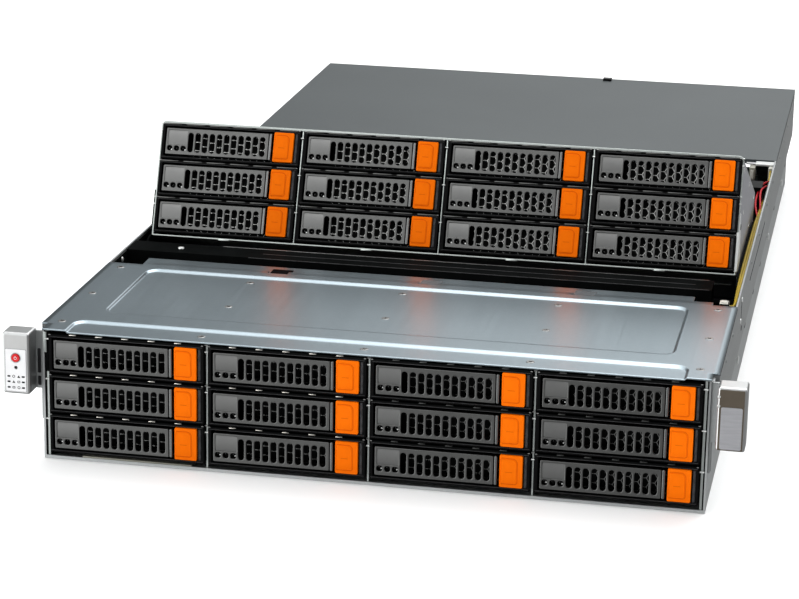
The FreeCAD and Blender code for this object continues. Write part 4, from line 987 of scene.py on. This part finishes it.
# lighter strips along the edges of the channel across the well: painted highlight
well.append((rbox(-128.0, 196.5, 196.3, 196.9, 87.0, 87.55, 0.2, 2), "line"))
well.append((rbox(-152.0, 194.5, 219.8, 220.7, 87.0, 87.65, 0.2, 2), "strip"))
well.append((rbox(-120.0, 186.0, 207.6, 208.2, 87.3, 87.55, 0.1, 1), "line"))
well.append((lathe([(0.3, 1.1), (1.4, 1.0), (2.1, 0.7), (2.3, 0.2), (2.3, -0.2)], (-180.0, 208.0, 87.4), "Z", 20), "bright"))
well.append((lathe([(0.3, 0.9), (1.1, 0.8), (1.7, 0.5), (1.9, 0.1), (1.9, -0.2)], (-216.8, 185.0, 83.0), "X", 18, 1), "bright"))
put("well_look", assemble("well_look", well), "chassis", ROW, ())

# ------------------------------------------------------------------ catch bar in front of the rear cover
catch = [(flat_plate([rrect(202.6, 217.3, 570.8, 580.4, 0.6, 3)], 86.2, 87.9, 0.3, 2), "bright"),
         (flat_plate([rrect(195.0, 203.4, 573.2, 577.6, 0.6, 3)], 86.4, 87.5, 0.25, 2), "steel"),
         (rbox(198.2, 202.8, 562.5, 574.0, 76.0, 86.3, 0.5, 2), "card"),
         (rbox(199.2, 201.8, 561.6, 563.0, 77.4, 84.6, 0.3, 2), "white")]
put("cover_catch_look", assemble("cover_catch_look", catch), "chassis", ROW, ())

# ------------------------------------------------------------------ small things on the side walls
wallbits = []
studs = []
for sx in (-1, 1):
    x0, x1 = sorted((sx * 218.48, sx * 218.72))
    # flat dark patches for the groove, the slots and the hole on the upper wall, and for the seams under the plate and
    # the cover: painted shade
    wallbits.append((wall_plate([rrect(290.0, 455.0, 69.4, 70.6, 0.4, 2)], x0, x1, 0.06, 1), "mark"))
    wallbits.append((wall_plate([rrect(203.4, 205.2, 66.0, 79.0, 0.5, 3)], x0, x1, 0.06, 1), "mark"))
    wallbits.append((wall_plate([rrect(211.0, 216.0, 55.4, 58.6, 1.5, 4)], x0, x1, 0.06, 1), "mark"))
    wallbits.append((wall_plate([rrect(13.0, 159.0, 86.0, 86.7, 0.2, 2)], x0, x1, 0.06, 1), "mark"))
    wallbits.append((wall_plate([rrect(585.5, 868.0, 86.1, 86.7, 0.2, 2)], x0, x1, 0.06, 1), "mark"))
    for y, z in ((205.0, 79.8), (201.0, 65.6), (64.0, 80.0), (120.0, 80.0), (300.0, 80.0), (380.0, 80.0), (470.0, 80.0), (545.0, 80.0)):
        big = z < 70 or y == 205.0
        r = 1.9 if big else 1.3
        wallbits.append((lathe([(0.3, 0.7), (r * 0.6, 0.62), (r * 0.95, 0.3), (r, -0.1)], (sx * 218.5, y, z), "X", 18, sx), "bright" if big else "wall"))
    for y in (640.0, 700.0, 760.0, 820.0):
        wallbits.append((lathe([(0.3, 0.55), (0.9, 0.5), (1.3, 0.25), (1.4, -0.1)], (sx * 218.5, y, 78.0), "X", 18, sx), "wall"))
    x0, x1 = sorted((sx * 214.48, sx * 214.7))
    for y in (70.0, 160.0, 330.0, 420.0, 500.0, 680.0, 840.0):
        # flat dark slots on the lower wall: painted shade
        wallbits.append((wall_plate([rrect(y - 5.0, y + 5.0, 22.6, 25.4, 1.3, 4)], x0, x1, 0.06, 1), "mark"))
    for y in (243.5, 582.0, 770.0):
        studs.append((lathe([(0.4, 2.0), (1.5, 2.05), (2.9, 1.9), (3.2, 1.6), (3.2, 1.2), (2.3, 1.1), (2.3, -0.1)], (sx * 214.5, y, 24.0), "X", 24, sx), "bright"))
        # dark patch for the hole beside each stud: painted shade
        wallbits.append((wall_plate([rrect(y + 4.5, y + 9.5, 24.5, 29.5, 2.2, 5)], x0, x1, 0.06, 1), "mark"))
put("rail_studs_look", assemble("rail_studs_look", studs), "chassis", ROW, ("rail_studs",))
put("wall_bits_look", assemble("wall_bits_look", wallbits), "chassis", ROW, ())


# ------------------------------------------------------------------ fan rotors
def rotor(cx, y0, cz):
    parts = [(lathe([(0.5, 0.0), (12.5, 0.0), (15.6, 0.8), (16.4, 2.4), (16.5, 5.0), (16.5, 26.0)], (cx, y0 + 3.0, cz), "Y", 40), "black"),
             (lathe([(0.5, -0.15), (9.5, -0.15), (9.8, 0.1)], (cx, y0 + 3.0, cz), "Y", 30), "label")]
    bm = bmesh.new()
    for b in range(7):
        rows = []
        for i in range(9):
            t = i / 8.0
            rad = 15.5 + (36.6 - 15.5) * t
            twist = math.radians(44.0 - 16.0 * t)
            sweep = math.radians(360.0 / 7.0 * b + 14.0 * t)
            line = []
            for side in (0, 1):
                for j in range(7):
                    u = (j / 6.0 - 0.5) * 22.0 * (1.0 + 0.12 * t)
                    if side:
                        u = -u
                    camber = 2.2 * (1 - (2 * u / 24.0) ** 2)
                    off = camber + (0.55 if side == 0 else -0.55)
                    yy = u * math.cos(twist) + off * math.sin(twist)
                    tang = u * math.sin(twist) - off * math.cos(twist)
                    ang = sweep + tang / rad
                    line.append(bm.verts.new(Vector((cx + rad * math.cos(ang), y0 + 15.6 + yy, cz + rad * math.sin(ang))) * 0.001))
            rows.append(line)
        n = len(rows[0])
        for a, c in zip(rows, rows[1:]):
            for k in range(n):
                bm.faces.new((a[k], a[(k + 1) % n], c[(k + 1) % n], c[k]))
        bm.faces.new(rows[0])
        bm.faces.new(list(reversed(rows[-1])))
    bmesh.ops.recalc_face_normals(bm, faces=list(bm.faces))
    me = bpy.data.meshes.new("blades")
    bm.to_mesh(me)
    bm.free()
    return parts + [(me, "black")]


for i, fx in enumerate((-120.0, 0.0, 120.0)):
    put("fan_rotor_%d_look" % (i + 1), assemble("fan_rotor_%d_look" % (i + 1), rotor(fx, 500.0, 42.2)), "fan_rotor_%d" % (i + 1), ROW,
        ("fan_rotor_%d" % (i + 1),))


# ------------------------------------------------------------------ power supplies seen from the rear
for i, z0 in enumerate((3.0, 45.0)):
    face = []
    gx0, gx1, gz0, gz1 = -175.6, -145.0, z0 + 11.0, z0 + 37.4
    face.append((front_plate([rrect(gx0, gx1, gz0, gz1, 2.0, 4)], 870.5, 870.85, 0.06, 1), "black"))
    face.append((hexmesh(gx0 + 3.4, gx1 - 3.0, gz0 + 3.2, gz1 - 4.4, 870.85, 4.9, 0.9, 0.5), "steel"))
    face.append((front_plate([rrect(gx0 - 0.6, gx1 + 0.6, gz0 - 0.6, gz1 + 0.6, 2.4, 4), rrect(gx0 + 1.0, gx1 - 1.0, gz0 + 1.0, gz1 - 1.0, 1.4, 4)], 870.6, 871.5, 0.2, 2), "wall"))
    # mains inlet: liner, collar and three blades
    face.append((front_plate([rrect(-205.0, -176.6, z0 + 7.2, z0 + 28.3, 2.0, 4), rrect(-202.0, -179.0, z0 + 10.0, z0 + 25.5, 2.2, 4)], 870.5, 872.2, 0.3, 2), "black"))
    face.append((front_plate([rrect(-202.9, -178.1, z0 + 9.1, z0 + 26.4, 1.4, 4), rrect(-202.0, -179.0, z0 + 10.0, z0 + 25.5, 2.2, 4)], 853.0, 870.8, 0.1, 1), "black"))
    face.append((front_plate([rrect(-202.8, -178.2, z0 + 9.2, z0 + 26.3, 1.4, 4)], 852.2, 853.2, 0.1, 1), "black"))
    for bx, bz in ((-190.5, z0 + 20.6), (-197.5, z0 + 15.4), (-183.5, z0 + 15.4)):
        face.append((rbox(bx - 1.0, bx + 1.0, 853.0, 867.5, bz - 2.0, bz + 2.0, 0.35, 2), "nickel"))
    # handle, release tab, lamp
    for hx in (-170.5, -148.5):
        face.append((rbox(hx - 1.8, hx + 1.8, 870.6, 893.2, z0 + 4.7, z0 + 9.3, 0.7, 3), "black"))
    face.append((rbox(-172.4, -146.6, 892.2, 896.9, z0 + 4.7, z0 + 9.3, 1.0, 3), "black"))
    face.append((rbox(-143.8, -140.0, 870.6, 886.9, z0 + 9.7, z0 + 26.3, 0.8, 3), "green"))
    for k in range(4):
        face.append((rbox(-144.0, -139.8, 875.0 + 2.8 * k, 876.2 + 2.8 * k, z0 + 11.0, z0 + 25.0, 0.3, 1), "green"))
    face.append((lathe([(0.3, 0.9), (1.0, 0.8), (1.5, 0.3), (1.6, -0.2)], (-209.0, 870.6, z0 + 20.0), "Y", 18), "white"))
    for sx_, sz_ in ((-210.6, z0 + 3.0), (-210.6, z0 + 36.0), (-142.2, z0 + 3.0), (-142.2, z0 + 36.0)):
        face.append((lathe([(0.3, 0.5), (1.2, 0.6), (1.7, 0.4), (1.8, -0.1)], (sx_, 870.6, sz_), "Y", 18), "nickel"))
    put("psu_%d_face_look" % (i + 1), assemble("psu_%d_face_look" % (i + 1), face), "psu_%d" % (i + 1), ROW, ())

# ------------------------------------------------------------------ rear sockets
ports = []
for x in (-24.0, -4.0, 16.0):
    ports.append((rbox(x - 5.9, x + 5.9, 856.9, 857.6, 11.5, 20.5, 0.1, 1), "black"))
    ports.append((front_plate([rrect(x - 5.95, x + 5.95, 11.45, 20.55, 0.4, 3), [(x - 5.2, 12.0), (x + 5.2, 12.0), (x + 5.2, 18.2), (x + 3.2, 18.2), (x + 3.2, 19.9), (x - 3.2, 19.9), (x - 3.2, 18.2), (x - 5.2, 18.2)]], 866.5, 870.9, 0.1, 1), "black"))
    for k in range(8):
        ports.append((tube([(x - 3.57 + 1.02 * k, 858.0, 12.4), (x - 3.57 + 1.02 * k, 864.5, 14.6)], 0.2, 6), "gold"))
    for dx, key in ((-5.9, "green"), (5.9, "yellow")):
        ports.append((front_plate([rrect(x + dx - 1.5, x + dx + 1.5, 21.3, 22.9, 0.3, 2)], 870.6, 871.2, 0.12, 2), key))
for x in (-66.0, -47.0):
    for z in (13.9, 21.9):
        ports.append((rbox(x - 6.5, x + 6.5, 858.9, 859.5, z - 2.6, z + 2.6, 0.1, 1), "black"))
        ports.append((rbox(x - 5.7, x + 5.7, 859.2, 869.6, z + 0.3, z + 2.1, 0.2, 1), "blue"))
        for k in range(4):
            ports.append((rbox(x - 4.0 + 2.3 * k, x - 3.0 + 2.3 * k, 861.0, 868.8, z + 0.1, z + 0.4, 0.05, 1), "gold"))
dloop = [(-109.4, 20.6), (-91.6, 20.6), (-90.8, 19.8), (-92.4, 13.2), (-93.4, 12.4), (-107.6, 12.4), (-108.6, 13.2), (-110.2, 19.8)]
din = [(-108.6, 19.8), (-92.4, 19.8), (-91.9, 19.3), (-93.3, 13.7), (-94.0, 13.2), (-107.0, 13.2), (-107.7, 13.7), (-109.1, 19.3)]
ports.append((front_plate([dloop, din], 874.6, 877.4, 0.15, 1), "nickel"))
ports.append((front_plate([din], 874.6, 876.4, 0.1, 1), "blue"))
# dark dots for the pin holes of the socket: painted shade
for k in range(15):
    r_, c_ = divmod(k, 5)
    ports.append((lathe([(0.2, 0.05), (0.5, 0.05), (0.55, -0.1)], (-104.6 + 2.1 * c_ + (0.9 if r_ == 1 else 0.0), 876.4, 18.6 - 2.0 * r_), "Y", 12), "mark"))
for x in (-113.4, -87.6):
    ports.append((lathe([(1.0, 2.4), (1.9, 2.5), (2.3, 2.2), (2.3, -0.2)], (x, 874.8, 16.6), "Y", 6), "nickel"))
    # dark disc for the threaded hole: painted shade
    ports.append((lathe([(0.3, 2.45), (1.0, 2.45), (1.05, 2.2)], (x, 874.8, 16.6), "Y", 14), "mark"))
for x in (-120.4, 29.0):
    for z in (33.0, 47.0):
        ports.append((lathe([(0.3, 0.4), (1.1, 0.5), (1.6, 0.35), (1.7, -0.1)], (x, 869.8, z), "Y", 18), "nickel"))
put("port_details_look", assemble("port_details_look", ports), "chassis", ROW, ())

# ------------------------------------------------------------------ expansion slots
blanks = []
for k in range(7):
    x = 58.0 + 20.32 * k
    if k not in (1, 4):
        vents = [rrect(x - 4.6, x + 4.6, 13.0 + 7.0 * j, 17.0 + 7.0 * j, 1.9, 4) for j in range(9)]
        blanks.append((front_plate([rrect(x - 9.2, x + 9.2, 5.0, 83.0, 0.8, 3)] + vents, 867.9, 868.8, 0.15, 2), "nickel"))
        blanks.append((rbox(x - 9.2, x + 9.2, 859.8, 868.8, 83.0, 83.9, 0.2, 1), "nickel"))
put("slot_covers_look", assemble("slot_covers_look", blanks), "chassis", ROW, ("slot_covers",))
bits = []
for k in (1, 4):
    x = 58.0 + 20.32 * k
    holes = [rrect(x - 4.4, x + 4.4, 18.0 + 20.0 * j, 32.0 + 20.0 * j, 0.6, 3) for j in range(3 if k == 1 else 2)]
    bits.append((front_plate([rrect(x - 6.3, x + 6.3, 9.2, 77.8, 0.4, 2)] + holes, 868.7, 869.0, 0.05, 1), "nickel"))
    for j in range(len(holes)):
        z = 18.0 + 20.0 * j
        bits.append((front_plate([rrect(x - 4.8, x + 4.8, z - 0.4, z + 14.4, 0.8, 3), rrect(x - 3.6, x + 3.6, z + 0.8, z + 13.2, 0.4, 3)], 868.6, 871.4, 0.2, 2), "nickel"))
        bits.append((rbox(x - 3.7, x + 3.7, 868.75, 869.2, z + 0.7, z + 13.3, 0.1, 1), "black"))
        bits.append((rbox(x - 0.5, x + 0.5, 869.0, 870.8, z + 2.2, z + 11.8, 0.2, 1), "gold"))
    bits.append((rbox(x - 2.8, x + 2.8, 740.0, 832.0, 9.6, 19.6, 0.4, 2), "black"))
    bits.append((rbox(x + 0.9, x + 12.2, 751.8, 790.2, 33.8, 68.2, 0.3, 1), "sink"))
    for j in range(9):
        bits.append((rbox(x + 11.8, x + 14.6, 752.0, 790.0, 34.4 + 3.9 * j, 35.6 + 3.9 * j, 0.2, 1), "sink"))
    for j in range(8):
        bits.append((rbox(x + 0.7, x + 2.2, 800.0 + 7.0 * (j % 4), 804.5 + 7.0 * (j % 4), 26.0 + 18.0 * (j // 4), 38.0 + 18.0 * (j // 4), 0.2, 1), "chip"))
put("card_details_look", assemble("card_details_look", bits), "chassis", ROW, ())

# ------------------------------------------------------------------ what stands on the main board
mb = []
for x0 in (-112.0, 34.0, 174.0):
    for k in range(4):
        x = x0 + 8.0 * k
        mb.append((rbox(x - 2.0, x + 3.4, 601.0, 711.4, 9.5, 15.4, 0.4, 2), "black" if k % 2 else "blue"))
        for y in (600.2, 708.6):
            mb.append((rbox(x - 1.6, x + 3.0, y, y + 3.0, 9.6, 22.0, 0.5, 2), "white"))
        for j in range(9):
            for xx in (x - 0.8, x + 1.3):
                mb.append((rbox(xx, xx + 0.9, 607.0 + 11.0 * j, 615.4 + 11.0 * j, 21.0, 33.0, 0.15, 1), "chip"))
for j in range(10):
    x = -84.0 + 12.0 * j
    mb.append((rbox(x - 4.2, x + 4.2, 727.0, 735.4, 9.5, 16.0, 0.8, 2), "chip"))
    mb.append((rbox(x - 2.8, x + 2.8, 728.4, 734.0, 15.8, 16.3, 0.2, 1), "steel"))
for j in range(9):
    x = -80.0 + 13.0 * j
    mb.append((lathe([(0.4, 9.0), (2.9, 9.0), (3.4, 8.6), (3.5, 8.0), (3.3, 7.4), (3.5, 6.8), (3.5, 0.0)], (x, 746.0, 9.6), "Z", 24), "steel"))
    mb.append((lathe([(0.4, 0.9), (3.9, 0.9), (4.1, 0.6), (4.1, -0.1)], (x, 746.0, 9.6), "Z", 24), "black"))
for j in range(9):
    mb.append((rbox(-19.6 + 3.75 * j, -18.4 + 3.75 * j, 760.2, 793.8, 13.4, 24.0, 0.2, 1), "sink"))
mb.append((rbox(-20.2, 14.2, 759.8, 794.2, 9.6, 13.9, 0.3, 1), "sink"))
for x0, x1, y0, y1, h, key in ((40, 66, 745, 775, 9, "chip"), (84, 132, 712, 720, 12, "black"), (150, 196, 712, 720, 12, "black"),
                               (-60, -20, 712, 724, 10, "white"), (-106, -88, 770, 790, 6, "chip")):
    mb.append((rbox(x0 - 0.2, x1 + 0.2, y0 - 0.2, y1 + 0.2, 9.55, 9.8 + h, 0.5, 2), key))
for x0 in (-70.0, 72.0):
    for y in (632.0, 676.0):
        mb.append((rbox(x0 - 1.4, x0 + 91.4, y, y + 6.0, 71.6, 73.0, 0.4, 2), "steel"))
    for x in (x0 - 1.4, x0 + 89.9):
        for y in (632.0, 676.0):
            mb.append((rbox(x, x + 1.5, y, y + 6.0, 16.0, 72.4, 0.3, 1), "steel"))
put("board_details_look", assemble("board_details_look", mb), "chassis", ROW, ())

# ------------------------------------------------------------------ cap of the cover's catch
# the grey square on top of the black cap: painted highlight on its top face
cap = [(rbox(42.4, 50.1, 859.9, 867.1, 88.0, 90.05, 0.5, 3), "black"), (rbox(43.6, 48.9, 861.2, 865.8, 89.9, 90.2, 0.1, 2), "line")]
put("cover_catch_cap_look", assemble("cover_catch_cap_look", cap), "top_cover", ROW, ())


# ------------------------------------------------------------------ CAD nodes that stay: material and broken edges
def dress(node, key, bev=0.25, seg=2):
    ob = nodes[node]
    ob.data.materials.clear()
    ob.data.materials.append(M[key])
    if bev:
        md = ob.modifiers.new("edges", "BEVEL")
        md.width = bev * 0.001
        md.segments = seg
        md.limit_method = "ANGLE"
        md.angle_limit = math.radians(40)
        md.harden_normals = False


for node, key, bev in (
        ("chassis_tub", "tub", 0.3), ("rear_panel", "wall", 0.2), ("front_drive_cage", "cage", 0.2), ("front_backplane", "pcbblack", 0.15),
        ("lift_backplane", "pcb", 0.15), ("lift_cage", "cage", 0.25), ("lift_hinge_rod", "steel", 0.3), ("lift_brackets", "blacksteel", 0.25),
        ("fan_frames", "black", 0.5), ("motherboard", "pcb", 0.15), ("cpu_heatsinks", "sink", 0.1), ("memory_modules", "pcb", 0.1),
        ("expansion_cards", "pcb", 0.15), ("slot_covers", "nickel", 0.2), ("io_ports", "nickel", 0.15), ("psu_bay", "wall", 0.2),
        ("power_board", "pcb", 0.15), ("rail_studs", "steel", 0.4), ("top_cover", "cover", 0.35), ("psu_1", "wall", 0.25),
        ("psu_2", "wall", 0.25), ("reset_button", "mark", 0.1)):
    dress(node, key, bev)

# ------------------------------------------------------------------ floor, light, camera
bm = bmesh.new()
bmesh.ops.create_grid(bm, x_segments=2, y_segments=2, size=30.0)
fl = bpy.data.meshes.new("floor")
bm.to_mesh(fl)
bm.free()
floor = bpy.data.objects.new("floor", fl)
floor.location = (0, 0, -0.0005)
scene.collection.objects.link(floor)
fm = surface("floor_paper", (0.86, 0.86, 0.86), (0.88, 0.88, 0.88), 0.0, (0.75, 0.85), scale=2.0, fine=60.0, bump_s=0.01, spec=0.1)
fm.node_tree.nodes["Principled BSDF"].inputs["Emission Color"].default_value = (1.0, 1.0, 1.0, 1.0)
fm.node_tree.nodes["Principled BSDF"].inputs["Emission Strength"].default_value = 0.16
fl.materials.append(fm)

# the floor is matt paper: it bounces light but is not mirrored in the metal
floor.visible_glossy = False

# pale backdrop far behind, only seen, not lit from
bm = bmesh.new()
ring = [(28.0 * math.cos(2 * math.pi * k / 96), 28.0 * math.sin(2 * math.pi * k / 96)) for k in range(96)]
low = [bm.verts.new((x, y, -0.4)) for x, y in ring]
high = [bm.verts.new((x, y, 26.0)) for x, y in ring]
for k in range(96):
    bm.faces.new((low[(k + 1) % 96], low[k], high[k], high[(k + 1) % 96]))
wall_me = bpy.data.meshes.new("backdrop")
bm.to_mesh(wall_me)
bm.free()
backdrop = bpy.data.objects.new("backdrop", wall_me)
scene.collection.objects.link(backdrop)
bdm = surface("backdrop_paper", (0.86, 0.86, 0.86), (0.88, 0.88, 0.88), 0.0, (0.75, 0.85), scale=2.0, fine=60.0, bump_s=0.01, spec=0.1)
bdm.node_tree.nodes["Principled BSDF"].inputs["Emission Color"].default_value = (1.0, 1.0, 1.0, 1.0)
bdm.node_tree.nodes["Principled BSDF"].inputs["Emission Strength"].default_value = 0.7
wall_me.materials.append(bdm)
backdrop.visible_diffuse = False
backdrop.visible_glossy = False
backdrop.visible_transmission = False
backdrop.visible_shadow = False

world = bpy.data.worlds.new("studio")
scene.world = world
world.use_nodes = True
wn = world.node_tree
bg = wn.nodes["Background"]
wtc = wn.nodes.new("ShaderNodeTexCoord")
wsep = wn.nodes.new("ShaderNodeSeparateXYZ")
wn.links.new(wtc.outputs["Generated"], wsep.inputs[0])


def wrange(src, a, b, lo, hi):
    n = wn.nodes.new("ShaderNodeMapRange")
    n.interpolation_type = "SMOOTHSTEP"
    wn.links.new(src, n.inputs["Value"])
    n.inputs["From Min"].default_value = a
    n.inputs["From Max"].default_value = b
    n.inputs["To Min"].default_value = lo
    n.inputs["To Max"].default_value = hi
    return n.outputs[0]


def wmath(op, a, b):
    n = wn.nodes.new("ShaderNodeMath")
    n.operation = op
    wn.links.new(a, n.inputs[0])
    wn.links.new(b, n.inputs[1])
    return n.outputs[0]


def wlobe(direction, a, b, amount):
    n = wn.nodes.new("ShaderNodeVectorMath")
    n.operation = "DOT_PRODUCT"
    n.inputs[1].default_value = Vector(direction).normalized()
    wn.links.new(wtc.outputs["Generated"], n.inputs[0])
    return wrange(n.outputs["Value"], a, b, 0.0, amount)


sky = wrange(wsep.outputs["Z"], 0.20, 0.85, 0.09, 0.50)
ground = wmath("MULTIPLY", wrange(wsep.outputs["Y"], -0.6, 0.6, 0.52, 0.50), wrange(wsep.outputs["X"], -0.17, -0.06, 1.0, 0.62))
above = wrange(wsep.outputs["Z"], -0.08, 0.04, 0.0, 1.0)
below = wrange(wsep.outputs["Z"], -0.08, 0.04, 1.0, 0.0)
total = wmath("ADD", wmath("MULTIPLY", sky, above), wmath("MULTIPLY", ground, below))
total = wmath("ADD", total, wmath("MULTIPLY", wlobe((-0.85, -0.50, 0.20), 0.55, 0.90, 2.5), wrange(wsep.outputs["Z"], 0.36, 0.60, 1.0, 0.35)))
side_n = wn.nodes.new("ShaderNodeVectorMath")
side_n.operation = "DOT_PRODUCT"
side_n.inputs[1].default_value = (0.970, 0.242, 0.0)
wn.links.new(wtc.outputs["Generated"], side_n.inputs[0])
screen = wmath("MULTIPLY", wrange(side_n.outputs["Value"], -0.02, 0.09, 0.0, 1.0), wrange(side_n.outputs["Value"], 0.45, 0.80, 1.0, 0.0))
screen = wmath("MULTIPLY", screen, wrange(wsep.outputs["Y"], 0.15, 0.55, 0.0, 1.0))
screen = wmath("MULTIPLY", screen, wmath("ADD", wrange(wsep.outputs["Z"], 0.10, 0.25, 0.0, 0.5), wrange(wsep.outputs["Z"], 0.32, 0.50, 0.0, 2.2)))
total = wmath("ADD", total, screen)
# soft panel high at the back, caught by the pressed edges
total = wmath("ADD", total, wlobe((-0.25, 0.55, 0.80), 0.935, 0.97, 1.5))
wn.links.new(total, bg.inputs["Strength"])
bg.inputs["Color"].default_value = (0.985, 1.0, 1.0, 1.0)


def area(name, loc, target, size, power):
    li = bpy.data.lights.new(name, "AREA")
    li.shape = "RECTANGLE"
    li.size, li.size_y = size
    li.energy = power
    ob = bpy.data.objects.new(name, li)
    scene.collection.objects.link(ob)
    ob.location = loc
    d = Vector(target) - Vector(loc)
    ob.rotation_euler = d.to_track_quat("-Z", "Y").to_euler()
    return ob


area("key", (-0.8, -2.0, 2.2), (0, -0.2, 0.05), (1.6, 1.2), 12.0)
area("side", (2.0, -0.7, 0.45), (0.2, -0.2, 0.03), (0.8, 0.6), 5.0)
area("top", (0.5, 0.2, 2.7), (0, 0.0, 0.05), (3.0, 3.0), 56.0)

az, el, roll = math.radians(10.8158561), math.radians(16.6576256), math.radians(1.03575363)
back = Vector((math.sin(az) * math.cos(el), -math.cos(az) * math.cos(el), math.sin(el)))
fwd = -back
rt = fwd.cross(Vector((0, 0, 1))).normalized()
up = rt.cross(fwd)
rt2 = rt * math.cos(roll) + up * math.sin(roll)
up2 = -rt * math.sin(roll) + up * math.cos(roll)
cam = bpy.data.cameras.new("camera")
cam.sensor_fit = "HORIZONTAL"
cam.sensor_width = 36.0
cam.lens = 2684.537 * 36.0 / 799.0
cam.clip_start, cam.clip_end = 0.05, 100.0
co = bpy.data.objects.new("camera", cam)
scene.collection.objects.link(co)
m = Matrix.Identity(4)
for r in range(3):
    m[r][0], m[r][1], m[r][2] = rt2[r], up2[r], -fwd[r]
m.translation = P(318.98145, -1571.85518, 603.403144)
co.matrix_world = m
scene.camera = co

scene.view_settings.view_transform = "Standard"
scene.view_settings.look = "None"
scene.view_settings.exposure = 0.0
